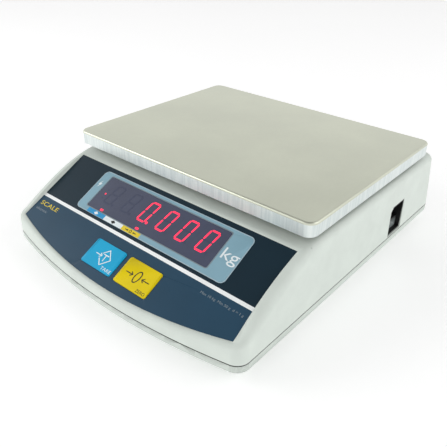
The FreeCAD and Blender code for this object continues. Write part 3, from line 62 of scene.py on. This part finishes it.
press = Vector(next(j for j in frame["joints"] if j["name"] == "tare_key_press")["axis"])
PANEL_OUT = -press.normalized()
PANEL_UP = PANEL_OUT.cross(Vector((1, 0, 0)))
OVERLAY_THICKNESS = 0.5
overlay_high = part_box("display_overlay")[1]
PANEL = Matrix((
    (1, PANEL_UP.x, PANEL_OUT.x, 0),
    (0, PANEL_UP.y, PANEL_OUT.y, overlay_high[1] + OVERLAY_THICKNESS * MM * PANEL_OUT.y),
    (0, PANEL_UP.z, PANEL_OUT.z, overlay_high[2]),
    (0, 0, 0, 1)))

# Millimetres from the overlay's face out to the faces of the keys, the frame and the window.
KEY_RISE = 0.6
FRAME_RISE = 0.3
WINDOW_RISE = 0.1
# Thickness of a printed mark in millimetres, and the step between strokes that cross.
INK = 0.05
STROKE_STEP = 0.004
# Steps round each curve of a letter.
LETTER_STEPS = 4
# Lengths that the load cell is cut into, so that it can bend.
BEAM_STEPS = 6
# Points of a mesh closer than this, in metres, are joined: on a carried piece, and on a mark.
JOIN_WITHIN = 0.00001
MARK_JOIN_WITHIN = 0.000001
# Faces that meet at less than this, in degrees, are shaded as one curve.
SMOOTH_ANGLE = 30
# Millimetres down from the pan's top to where its rim begins, and from the seam down to where the painted seam
# shadow ends.
RIM_ROUND = 2.2
SEAM_SHADOW_DEPTH = 0.4


# ---- shader maths ---------------------------------------------------------------------

class Socket:
    """A shader node's output that Python's operators work on."""

    def __init__(self, paint, link):
        self.paint = paint
        self.link = link

    def maths(self, operation, *values):
        return self.paint.node("ShaderNodeMath", {"operation": operation}, dict(enumerate(values)))

    def __add__(self, other):
        return self.maths("ADD", self, other)

    def __mul__(self, other):
        return self.maths("MULTIPLY", self, other)

    def __gt__(self, other):
        return self.maths("GREATER_THAN", self, other)


class Paint:
    """One material and its nodes."""

    def __init__(self, name, **sockets):
        self.material = bpy.data.materials.new(name)
        self.material.use_nodes = True
        self.tree = self.material.node_tree
        self.shader = self.tree.nodes["Principled BSDF"]
        for socket, setting in sockets.items():
            self.set(socket.replace("_", " "), setting)

    def set(self, socket, setting):
        if isinstance(setting, Socket):
            self.tree.links.new(setting.link, self.shader.inputs[socket])
        else:
            self.shader.inputs[socket].default_value = setting

    def node(self, kind, settings=None, values=None, output=0):
        made = self.tree.nodes.new(kind)
        for name, setting in (settings or {}).items():
            setattr(made, name, setting)
        for name, given in (values or {}).items():
            if isinstance(given, Socket):
                self.tree.links.new(given.link, made.inputs[name])
            else:
                made.inputs[name].default_value = given
        return Socket(self, made.outputs[output])

    def place(self, scale=(1, 1, 1)):
        """Object coordinates in millimetres, stretched."""
        raw = self.node("ShaderNodeTexCoord", output="Object")
        return self.node("ShaderNodeMapping", None, {
            "Vector": raw, "Scale": [part / MM for part in scale]})

    def height(self):
        """Millimetres up in the object's own frame, which stands on the floor at rest."""
        return self.node("ShaderNodeSeparateXYZ", None, {"Vector": self.place()}, output=2)

    def noise(self, scale, detail=3, where=None, rough=0.5):
        return self.node("ShaderNodeTexNoise", None, {
            "Vector": where or self.place(), "Scale": scale, "Detail": detail,
            "Roughness": rough})

    def blend(self, factor, first, second):
        return self.node("ShaderNodeMix", {"data_type": "RGBA"},
                         {"Factor": factor, 6: first, 7: second}, output=2)

    def between(self, value, low, high, start=0.0, end=1.0):
        return self.node("ShaderNodeMapRange", None, {
            "Value": value, "From Min": start, "From Max": end, "To Min": low, "To Max": high})

    def bump(self, height, strength, distance):
        self.set("Normal", self.node("ShaderNodeBump", None, {
            "Height": height, "Strength": strength, "Distance": distance * MM}))


def shade(colour, factor=1.0):
    """A colour given as screen values from 0 to 255, made linear."""
    linear = []
    for part in colour:
        part = min(part * factor, 255) / 255
        linear.append(part / 12.92 if part <= 0.04045 else ((part + 0.055) / 1.055) ** 2.4)
    return (*linear, 1.0)


def mottled(paint, colour, change, scale=0.06):
    """A base colour that drifts a little over the surface."""
    paint.set("Base Color", paint.blend(
        paint.between(paint.noise(scale, 4), 0, 1, 0.3, 0.7),
        shade(colour, 1 - change), shade(colour, 1 + change)))


def moulded(name, colour, roughness=0.45, grain=2.2, depth=0.03, change=0.015):
    """Injection-moulded plastic with a fine eroded grain."""
    paint = Paint(name, Specular_IOR_Level=0.45)
    mottled(paint, colour, change)
    fine = paint.noise(grain, 2)
    wear = paint.noise(0.15, 3)
    paint.set("Roughness", paint.between(wear, roughness - 0.05, roughness + 0.05))
    paint.bump(fine, 0.35, depth)
    return paint.material


def film(name, colour, roughness=0.3, change=0.03, gloss=0.5):
    """A printed polycarbonate film with a satin face."""
    paint = Paint(name, Specular_IOR_Level=gloss)
    mottled(paint, colour, change, 0.03)
    paint.set("Roughness", paint.between(paint.noise(0.4, 3), roughness - 0.04, roughness + 0.04))
    paint.bump(paint.noise(3.5, 1), 0.12, 0.02)
    return paint.material


def ink(name, colour, roughness=0.4):
    """A screen-printed mark."""
    paint = Paint(name, Specular_IOR_Level=0.4)
    mottled(paint, colour, 0.02, 0.5)
    paint.set("Roughness", paint.between(paint.noise(2.0, 2), roughness - 0.04, roughness + 0.04))
    return paint.material


def brushed_steel():
    """Stainless sheet, brushed from front to back on top and drawn upright on its rim, the rim coloured lighter
    than the top as a painted reflection of the bright floor.
    """
    paint = Paint("brushed_stainless", Metallic=1.0)
    lines = paint.noise(1.0, 4, paint.place((14, 0.10, 14)), 0.6)
    drawn = paint.noise(1.0, 3, paint.place((0.35, 0.35, 0.02)), 0.6)
    clouds = paint.noise(0.012, 4)
    on_top = paint.height() > PAN_TOP / MM - RIM_ROUND
    streaks = lines * 0.5 + clouds * 0.5
    tone = paint.between(streaks, 0, 1, 0.40, 0.60)
    sheet = paint.blend(tone, shade((200, 203, 187)), shade((214, 217, 200)))
    # Painted reflection: the rim's colours are lighter than the sheet's, standing for the bright floor it mirrors;
    # the upright drawn grain is real.
    rim = paint.blend(paint.between(drawn, 0, 1, 0.4, 0.6), shade((212, 221, 220)),
                      shade((226, 233, 231)))
    paint.set("Base Color", paint.blend(on_top, rim, sheet))
    paint.set("Roughness", paint.between(streaks, 0.34, 0.42, 0.35, 0.65))
    paint.bump(lines, 0.06, 0.02)
    return paint.material


def metal(name, colour, roughness=0.3, grain=1.2, depth=0.05):
    """Bare or plated metal with a fine cast or machined texture."""
    paint = Paint(name, Metallic=1.0)
    mottled(paint, colour, 0.04, 0.2)
    paint.set("Roughness", paint.between(paint.noise(0.6, 4), roughness - 0.08, roughness + 0.08))
    paint.bump(paint.noise(grain, 4), 0.25, depth)
    return paint.material


def rubber():
    """Matt black rubber."""
    paint = Paint("black_rubber", Specular_IOR_Level=0.3)
    mottled(paint, (26, 26, 27), 0.15, 0.3)
    paint.set("Roughness", paint.between(paint.noise(0.8, 3), 0.65, 0.85))
    paint.bump(paint.noise(3.0, 3), 0.4, 0.05)
    return paint.material


def circuit_green():
    """Green solder mask over copper tracks."""
    paint = Paint("circuit_green", Specular_IOR_Level=0.5, Roughness=0.35)
    cells = paint.node("ShaderNodeTexVoronoi", {"distance": "CHEBYCHEV"},
                       {"Vector": paint.place(), "Scale": 0.28})
    tracks = paint.between(cells, 0, 1, 0.42, 0.46)
    paint.set("Base Color", paint.blend(tracks, shade((14, 74, 40)), shade((34, 112, 62))))
    paint.bump(tracks, 0.3, 0.04)
    return paint.material


def smoked():
    """Acrylic smoked to a violet grey, too dark to see through."""
    paint = Paint("smoked_acrylic", Specular_IOR_Level=0.7)
    mottled(paint, (70, 76, 98), 0.03, 0.05)
    paint.set("Roughness", paint.between(paint.noise(0.1, 2), 0.10, 0.14))
    return paint.material


def tray_plastic():
    """The base's plastic, with its rim above the seam painted dark as a painted shadow of the gap at the seam."""
    paint = Paint("base_plastic", Specular_IOR_Level=0.45)
    # Painted shadow: everything above a line just under the seam is coloured dark, standing for the shade in the
    # seam's gap.
    in_painted_seam_shadow = paint.height() > SEAM / MM - SEAM_SHADOW_DEPTH
    drift = paint.between(paint.noise(0.06, 4), 0, 1, 0.3, 0.7)
    shell = paint.blend(drift, shade((200, 208, 201)), shade((206, 214, 207)))
    paint.set("Base Color", paint.blend(in_painted_seam_shadow, shell, shade((34, 38, 38))))
    paint.set("Roughness", paint.between(paint.noise(0.15, 3), 0.4, 0.5))
    paint.bump(paint.noise(2.2, 2), 0.35, 0.03)
    return paint.material


def glowing(name, colour, strength):
    """A lit diode's face."""
    paint = Paint(name, Roughness=0.4)
    glow = paint.noise(0.9, 1)
    paint.set("Base Color", shade(colour, 0.6))
    paint.set("Emission Color", paint.blend(paint.between(glow, 0, 1), shade(colour, 0.92),
                                            shade(colour)))
    paint.set("Emission Strength", strength)
    return paint.material


FINISH = {
    "housing_plastic": moulded("cover_plastic", (211, 219, 212)),
    "base_plastic": tray_plastic(),
    "overlay_dark": film("overlay_slate", (20, 42, 54), 0.32, 0.03, 0.22),
    "overlay_blue": film("overlay_blue", (38, 70, 92), 0.32, 0.03, 0.25),
    "strip_white": film("strip_white", (246, 250, 250), 0.35),
    "frame_blue_grey": film("frame_blue_grey", (136, 174, 190), 0.3, 0.02, 0.4),
    "smoked_window": smoked(),
    "digit_black": moulded("digit_face", (40, 40, 48), 0.4),
    "circuit_board": circuit_green(),
    "switch_black": moulded("component_black", (24, 24, 26), 0.4),
    "tare_blue": film("key_blue", (14, 168, 214), 0.4, 0.02, 0.25),
    "zero_yellow": film("key_yellow", (232, 208, 10), 0.4, 0.02, 0.2),
    "pan_steel": brushed_steel(),
    "cast_aluminium": metal("cast_aluminium", (168, 170, 172), 0.5, 0.8, 0.3),
    "machined_aluminium": metal("machined_aluminium", (206, 208, 211), 0.3, 2.5, 0.04),
    "screw_steel": metal("zinc_plate", (190, 192, 196), 0.28),
    "black_rubber": rubber(),
    "battery_case": moulded("battery_case", (38, 40, 44), 0.5),
    "terminal_brass": metal("tinned_brass", (200, 176, 110), 0.3),
    "core_iron": metal("core_iron", (96, 98, 104), 0.5, 0.5, 0.2),
    "coil_tape": film("coil_tape", (214, 178, 60), 0.4),
    "power_black": moulded("power_black", (20, 21, 22), 0.42),
    # The rocker's grey is painted light: it is lightened to stand for the light falling on its face inside the
    # dark recess.
    "rocker_grey": moulded("rocker_grey", (120, 128, 128), 0.25),
    "lead_grey": moulded("lead_sleeve", (66, 66, 70), 0.5),
}
INK_WHITE = ink("ink_white", (232, 240, 242))
INK_PALE = ink("ink_pale", (176, 196, 206))
INK_GREY = ink("ink_grey", (128, 140, 148))
INK_BLACK = ink("ink_black", (22, 26, 22))
INK_YELLOW = ink("ink_yellow", (232, 206, 40))
INK_BLUE = ink("ink_blue", (30, 150, 206))
LIT = glowing("lit_segment", (255, 40, 76), 1.7)
UNLIT = ink("unlit_segment", (69, 75, 97), 0.13)
SLOT_OF = {part["node"]: part["material_slot"] for part in frame["record"]["subparts"]}


# ---- modelling helpers ----------------------------------------------------------------

def select(item):
    bpy.ops.object.select_all(action="DESELECT")
    item.select_set(True)
    bpy.context.view_layer.objects.active = item


def settle(item, place):
    """Move the object's mesh to a place, while the object itself sits at the origin."""
    item.matrix_world = place
    select(item)
    bpy.ops.object.transform_apply(location=True, rotation=True, scale=True)


def finish_piece(item, name, body, material):
    """Name a new piece, give it its material and slot, and let it ride its body."""
    item.name = name
    item.data.materials.clear()
    item.data.materials.append(material)
    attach(item, body)


def joined_copy(node):
    """The node's own shape with its triangles joined up and its curves shaded smooth."""
    item = nodes[node].copy()
    item.data = nodes[node].data.copy()
    bpy.context.scene.collection.objects.link(item)
    for key in list(item.keys()):
        del item[key]
    item.parent = None
    select(item)
    bpy.ops.object.mode_set(mode="EDIT")
    bpy.ops.mesh.select_all(action="SELECT")
    bpy.ops.mesh.remove_doubles(threshold=JOIN_WITHIN)
    bpy.ops.object.mode_set(mode="OBJECT")
    bpy.ops.object.shade_smooth_by_angle(angle=math.radians(SMOOTH_ANGLE))
    return item


def refined(node, body):
    """A joined copy that stands in for the node, with the node's own material and slot."""
    item = joined_copy(node)
    finish_piece(item, node + "_surface", body, FINISH[SLOT_OF[node]])
    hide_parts(node)


def bending_load_cell():
    """The load cell, joined up and cut across into lengths between its spacers."""
    item = joined_copy("load_cell")
    item.name = "load_cell_beam"
    item.data.materials.clear()
    item.data.materials.append(FINISH[SLOT_OF["load_cell"]])
    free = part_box("load_cell_top_spacer")[1][1]
    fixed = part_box("load_cell_base_spacer")[0][1]
    select(item)
    bpy.ops.object.mode_set(mode="EDIT")
    for step in range(BEAM_STEPS + 1):
        bpy.ops.mesh.select_all(action="SELECT")
        bpy.ops.mesh.bisect(plane_co=(0, free + (fixed - free) * step / BEAM_STEPS, 0),
                            plane_no=(0, 1, 0))
    bpy.ops.object.mode_set(mode="OBJECT")
    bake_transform(item)
    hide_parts("load_cell")


def flat_piece(name, outlines, rise, body, material):
    """A thin mark on the panel, from outlines of (across, down) points in millimetres."""
    curve = bpy.data.curves.new(name, "CURVE")
    curve.dimensions = "2D"
    curve.fill_mode = "BOTH"
    curve.extrude = INK / 2
    for outline in outlines:
        spline = curve.splines.new("POLY")
        spline.points.add(len(outline) - 1)
        for point, (across, down) in zip(spline.points, outline):
            point.co = (across, -down, 0, 1)
        spline.use_cyclic_u = True
    item = bpy.data.objects.new(name, curve)
    bpy.context.scene.collection.objects.link(item)
    select(item)
    bpy.ops.object.convert(target="MESH")
    item = bpy.context.view_layer.objects.active
    settle(item, PANEL @ Matrix.Scale(MM, 4) @ Matrix.Translation((0, 0, rise + INK / 2)))
    select(item)
    bpy.ops.object.mode_set(mode="EDIT")
    bpy.ops.mesh.select_all(action="SELECT")
    bpy.ops.mesh.remove_doubles(threshold=MARK_JOIN_WITHIN)
    bpy.ops.mesh.normals_make_consistent(inside=False)
    bpy.ops.object.mode_set(mode="OBJECT")
    finish_piece(item, name, body, material)


def lettering(name, words, box, rise, body, material):
    """Words fitted to a box of (left, right, top, bottom) on the panel."""
    left, right, top, bottom = box
    bpy.ops.object.select_all(action="DESELECT")
    bpy.ops.object.text_add(location=(0, 0, 0))
    item = bpy.context.view_layer.objects.active
    item.data.body = words
    item.data.resolution_u = LETTER_STEPS
    item.data.extrude = INK / 2
    bpy.ops.object.convert(target="MESH")
    item = bpy.context.view_layer.objects.active
    corners = [vertex.co for vertex in item.data.vertices]
    low_x, high_x = min(co.x for co in corners), max(co.x for co in corners)
    low_y, high_y = min(co.y for co in corners), max(co.y for co in corners)
    to_corner = Matrix.Translation((-low_x, -low_y, 0))
    stretch = Matrix.Diagonal(((right - left) / (high_x - low_x),
                               (bottom - top) / (high_y - low_y), 1, 1))
    shift = Matrix.Translation((left, -bottom, rise + INK / 2))
    settle(item, PANEL @ Matrix.Scale(MM, 4) @ shift @ stretch @ to_corner)
    finish_piece(item, name, body, material)


def rectangle(left, right, top, bottom, corner=0.0, steps=6):
    """A rectangle's outline, its corners rounded when a radius is given."""
    if not corner:
        return [(left, top), (right, top), (right, bottom), (left, bottom)]
    points = []
    for x, y, start in ((right - corner, top + corner, -90), (right - corner, bottom - corner, 0),
                        (left + corner, bottom - corner, 90), (left + corner, top + corner, 180)):
        for step in range(steps + 1):
            angle = math.radians(start + 90 * step / steps)
            points.append((x + corner * math.cos(angle), y + corner * math.sin(angle)))
    return points


def ring(left, right, top, bottom, corner, width):
    """A line of a given width that runs round inside a rectangle."""
    return [rectangle(left, right, top, bottom, corner),
            rectangle(left + width, right - width, top + width, bottom - width, corner - width)]


def diamond(x, y, across, tall):
    """A diamond's outline about its middle, from its half width and half height."""
    return [(x, y - tall), (x + across, y), (x, y + tall), (x - across, y)]


def disc(x, y, radius, steps=20):
    """A circle's outline."""
    return [(x + radius * math.cos(math.tau * step / steps),
             y + radius * math.sin(math.tau * step / steps)) for step in range(steps)]


def arrow(tip, tail, y, head=1.5, half=1.1, shaft=0.35):
    """A filled arrow along the panel, from its tail to its tip."""
    way = math.copysign(1, tip - tail)
    neck = tip - way * head
    return [(tip, y), (neck, y - half), (neck, y - shaft), (tail, y - shaft),
            (tail, y + shaft), (neck, y + shaft), (neck, y + half)]


# ---- carried-over pieces --------------------------------------------------------------

for name, node in nodes.items():
    node.data.materials.clear()
    node.data.materials.append(FINISH[SLOT_OF[name]])

SMOOTHED = {
    "upper_housing": "housing", "lower_housing": "housing", "weighing_pan": "pan",
    "tare_key": "tare_key", "zero_key": "zero_key", "display_frame": "housing",
    "keypad_overlay": "housing", "rocker": "rocker", "pan_carrier": "platform",
    "carrier_pads": "platform", "housing_screws": "housing", "load_cell_lead": "housing",
    "transformer_lead": "housing", "battery_lead": "housing",
}
for node, body in SMOOTHED.items():
    refined(node, body)
bending_load_cell()


# ---- digits ---------------------------------------------------------------------------

DIGITS = 6
DIGIT_WIDTH = 11.1
DIGIT_HEIGHT = 22.8
DIGIT_PITCH = 23.3
DIGIT_TOP = 13.5
LAST_DIGIT_LEFT = 53.1
SLANT = math.tan(math.radians(9))
SEGMENT = 1.7
SEGMENT_GAP = 0.35
POINT_RADIUS = 1.4
POINT_CLEAR = 2.2
LIT_DIGITS = {3: "abcdef.", 4: "abcdef", 5: "abcdef", 6: "abcdef"}


def segment_outlines(left, top):
    """The seven mitred bars and the point of one digit, leaning to the right."""
    half, gap = SEGMENT / 2, SEGMENT_GAP
    x0, x1 = half, DIGIT_WIDTH - half
    y0, y1, y2 = half, DIGIT_HEIGHT / 2, DIGIT_HEIGHT - half

    def bar(ax, ay, bx, by):
        """A bar between two points, pointed at both ends."""
        length = math.hypot(bx - ax, by - ay)
        ux, uy = (bx - ax) / length, (by - ay) / length
        ax, ay, bx, by = ax + ux * gap, ay + uy * gap, bx - ux * gap, by - uy * gap
        corners = [(ax, ay), (ax + (ux - uy) * half, ay + (uy + ux) * half),
                   (bx - (ux + uy) * half, by - (uy - ux) * half), (bx, by),
                   (bx - (ux - uy) * half, by - (uy + ux) * half),
                   (ax + (ux + uy) * half, ay + (uy - ux) * half)]
        return [(left + x + (DIGIT_HEIGHT - y) * SLANT, top + y) for x, y in corners]

    bars = {"a": bar(x0, y0, x1, y0), "b": bar(x1, y0, x1, y1), "c": bar(x1, y1, x1, y2),
            "d": bar(x0, y2, x1, y2), "e": bar(x0, y1, x0, y2), "f": bar(x0, y0, x0, y1),
            "g": bar(x0, y1, x1, y1)}
    bars["."] = disc(left + DIGIT_WIDTH + POINT_CLEAR, top + DIGIT_HEIGHT - POINT_RADIUS,
                     POINT_RADIUS)
    return bars


def digits():
    """Six digits of lit and dark segments, the last four of them showing a nought."""
    for number in range(1, DIGITS + 1):
        left = LAST_DIGIT_LEFT - DIGIT_PITCH * (DIGITS - number)
        bars = segment_outlines(left, DIGIT_TOP)
        lit = LIT_DIGITS.get(number, "")
        for title, wanted, material in (("lit", True, LIT), ("dark", False, UNLIT)):
            shapes = [shape for key, shape in bars.items() if (key in lit) == wanted]
            if shapes:
                flat_piece(f"digit_{number}_{title}_segments", shapes, WINDOW_RISE, "housing",
                           material)


digits()


# ---- printed marks: millimetres across from the panel's middle, and down from its top edge --

FRAME_LINE = 0.6
WINDOW_LINE = 0.8
TAB_TOP = 46.5
TAB_BOTTOM = 51.0
TAB_MIDDLE = 48.75
TAB_EDGES = (-70.5, -46.5, -22, 0.7)
TAB_DIAMOND = (2.8, 1.85)
# Down to the middle of the zero key's figure and arrows.
KEY_ARROWS = 79.9
CHARGE_LIGHTS = -67
CHARGE_RADIUS = 0.9
STATUS_LENGTH = 4
STATUS_CORNER = 0.9


def frame_marks():
    flat_piece("frame_outline", ring(-87, 97, 5, 51.3, 5, FRAME_LINE), FRAME_RISE, "housing",
               INK_PALE)
    flat_piece("window_outline", ring(-76.6, 76.6, 8, 46.4, 2.4, WINDOW_LINE), FRAME_RISE,
               "housing", INK_GREY)
    for name, left, right, material in zip(("blue", "white", "yellow"), TAB_EDGES, TAB_EDGES[1:],
                                           (INK_BLUE, INK_WHITE, INK_YELLOW)):
        flat_piece(f"tab_{name}", [rectangle(left, right, TAB_TOP, TAB_BOTTOM)],
                   FRAME_RISE + INK / 2, "housing", material)
    lettering("unit_mark", "kg", (79.3, 95.6, 22, 35.8), FRAME_RISE, "housing", INK_WHITE)
    bolt = [(-81.2, 16.5), (-84, 21.4), (-82.1, 21.4), (-83, 25), (-79.8, 19.9), (-81.8, 19.9)]
    flat_piece("charge_mark", [bolt], FRAME_RISE, "housing", INK_WHITE)


def tab_marks():
    rise = FRAME_RISE + 1.5 * INK
    flat_piece("tab_zero_mark", [diamond(-34.2, TAB_MIDDLE, *TAB_DIAMOND)], rise, "housing",
               INK_BLACK)
    flat_piece("tab_net_mark", [diamond(-58.5, TAB_MIDDLE, *TAB_DIAMOND)], rise, "housing",
               INK_WHITE)
    arrows = [arrow(-13.4, -17.6, TAB_MIDDLE), arrow(-8, -3.8, TAB_MIDDLE)]
    flat_piece("tab_centre_arrows", arrows, rise, "housing", INK_BLACK)
    lettering("tab_centre_zero", "0", (-12.2, -9.4, 47.1, 50.4), rise, "housing", INK_BLACK)


def stroke(ax, ay, bx, by, width=0.9):
    """A straight stroke's outline between two points."""
    length = math.hypot(bx - ax, by - ay)
    ox, oy = (by - ay) / length * width / 2, -(bx - ax) / length * width / 2
    return [(ax + ox, ay + oy), (bx + ox, by + oy), (bx - ox, by - oy), (ax - ox, ay - oy)]


def barbed(tip, tail, y, barb=2.6, spread=0.75, width=0.8):
    """The strokes of an open arrow along the panel."""
    way = math.copysign(1, tip - tail)
    return [stroke(tail, y, tip - way * width, y, width),
            stroke(tip, y, tip - way * barb, y - barb * spread, width),
            stroke(tip, y, tip - way * barb, y + barb * spread, width)]


def oval(x, y, across, tall, lean=0.12, steps=28):
    """An ellipse's outline, leaning to the right by a share of its height."""
    points = []
    for step in range(steps):
        angle = math.tau * step / steps
        drop = tall * math.sin(angle)
        points.append((x + across * math.cos(angle) - lean * drop, y + drop))
    return points


def marks(name, shapes, rise, body, material):
    """Strokes laid one over the next by a hair, so that no two share a face."""
    for number, shape in enumerate(shapes, start=1):
        outline = shape if isinstance(shape[0], list) else [shape]
        flat_piece(f"{name}_{number}", outline, rise + number * STROKE_STEP, body, material)


def key_marks():
    rise = KEY_RISE
    outline = [stroke(-17.6, 77.3, -12.6, 72.2), stroke(-12.9, 72.2, -5.6, 80.2),
               stroke(-5.6, 79.9, -12.9, 87.9), stroke(-12.6, 87.9, -17.9, 82.4)]
    marks("tare_diamond", outline, rise, "tare_key", INK_WHITE)
    letter = [stroke(-15.9, 77.6, -9.4, 77.6), stroke(-12.7, 77.6, -12.7, 83.8)]
    marks("tare_letter", letter, rise, "tare_key", INK_WHITE)
    marks("tare_arrow", barbed(-16.8, -24.4, 79.8), rise, "tare_key", INK_WHITE)
    lettering("tare_word", "TARE", (-9.2, 3.2, 87.2, 90.2), rise, "tare_key", INK_WHITE)
    figure = [oval(28.6, KEY_ARROWS, 3.3, 5.9), oval(28.6, KEY_ARROWS, 2.3, 4.9)]
    marks("zero_figure", [figure], rise, "zero_key", INK_BLACK)
    marks("zero_left_arrow", barbed(23.2, 15, KEY_ARROWS), rise, "zero_key", INK_BLACK)
    marks("zero_right_arrow", barbed(33.8, 42.2, KEY_ARROWS), rise, "zero_key", INK_BLACK)
    lettering("zero_word", "ZERO", (35.6, 45.6, 88, 90.9), rise, "zero_key", INK_BLACK)


def panel_words():
    lettering("capacity_words", "Max 10 kg  Min 50 g  d = 1 g", (85, 127, 62.9, 65.6), 0,
              "housing", INK_GREY)
    lettering("plain_word", "SCALE", (-127, -100, 62.4, 67), 0, "housing", INK_YELLOW)
    lettering("kind_word", "electronic", (-127, -110, 70.2, 73), 0, "housing", INK_GREY)


def indicators():
    """Three round charge lights at the window's left, and two long lights over the tabs."""
    for number, (y, material) in enumerate(((22.6, UNLIT), (27.6, LIT), (32.5, UNLIT)), start=1):
        flat_piece(f"indicator_{number}", [disc(CHARGE_LIGHTS, y, CHARGE_RADIUS)], WINDOW_RISE,
                   "housing", material)
    for number, left in enumerate((-58, -9.6), start=1):
        outline = rectangle(left, left + STATUS_LENGTH, 42.4, 44.6, STATUS_CORNER)
        flat_piece(f"status_light_{number}", [outline], WINDOW_RISE, "housing", LIT)


frame_marks()
tab_marks()
key_marks()
panel_words()
indicators()


# ---- stage, light and camera ----------------------------------------------------------

FLOOR_SIZE = 6
FLOOR_GLOW = 0.28
LAMP_SIZE = 1.0
# The sky is white up to one height of its unit sphere and fades to a low brightness at the next.
SKY_FADE = (("From Min", 0.45), ("From Max", 0.92), ("To Min", 1.0), ("To Max", 0.3))
CAMERA_PLACE = (0.3001, -0.3630, 0.2944)
CAMERA_ANGLES = (40.389, 31.406, 0.812)
LENS = 42.23
SENSOR = 36


def stage():
    """A wide pale floor."""
    bpy.ops.object.select_all(action="DESELECT")
    bpy.ops.mesh.primitive_plane_add(size=FLOOR_SIZE, location=(0, 0, 0))
    floor = bpy.context.view_layer.objects.active
    floor.name = "floor"
    paint = Paint("pale_floor", Roughness=0.8, Emission_Color=(1, 1, 1, 1),
                  Emission_Strength=FLOOR_GLOW)
    mottled(paint, (244, 244, 244), 0.004, 0.002)
    floor.data.materials.append(paint.material)


def lamp(name, place, power):
    """A square area lamp that points at the origin."""
    light = bpy.data.lights.new(name, "AREA")
    light.size = LAMP_SIZE
    light.energy = power
    item = bpy.data.objects.new(name, light)
    bpy.context.scene.collection.objects.link(item)
    item.location = place
    item.rotation_euler = (-Vector(place)).to_track_quat("-Z", "Y").to_euler()


def lights():
    """A white sky that darkens upwards, and two soft lamps."""
    world = bpy.data.worlds.new("studio")
    bpy.context.scene.world = world
    world.use_nodes = True
    tree = world.node_tree
    where = tree.nodes.new("ShaderNodeTexCoord")
    split = tree.nodes.new("ShaderNodeSeparateXYZ")
    fade = tree.nodes.new("ShaderNodeMapRange")
    fade.interpolation_type = "SMOOTHSTEP"
    for socket, setting in SKY_FADE:
        fade.inputs[socket].default_value = setting
    tree.links.new(where.outputs["Generated"], split.inputs["Vector"])
    tree.links.new(split.outputs["Z"], fade.inputs["Value"])
    tree.links.new(fade.outputs["Result"], tree.nodes["Background"].inputs["Strength"])
    tree.nodes["Background"].inputs["Color"].default_value = (1, 1, 1, 1)
    lamp("key_light", (1.2, 0.5, 1.1), 5)
    lamp("fill_light", (-1.2, -1.0, 0.8), 8)


def camera():
    """A view from above the front right corner."""
    turn, tilt, roll = (math.radians(angle) for angle in CAMERA_ANGLES)
    back = Vector((math.sin(turn) * math.cos(tilt), -math.cos(turn) * math.cos(tilt),
                   math.sin(tilt)))
    right = Vector((0, 0, 1)).cross(back).normalized()
    up = back.cross(right)
    across = right * math.cos(roll) + up * math.sin(roll)
    over = up * math.cos(roll) - right * math.sin(roll)
    lens = bpy.data.cameras.new("camera")
    lens.sensor_width = SENSOR
    lens.lens = LENS
    item = bpy.data.objects.new("camera", lens)
    bpy.context.scene.collection.objects.link(item)
    turned = Matrix((across, over, back)).transposed().to_4x4()
    item.matrix_world = Matrix.Translation(CAMERA_PLACE) @ turned
    bpy.context.scene.camera = item


stage()
lights()
camera()
bpy.context.scene.view_settings.view_transform = "Standard"
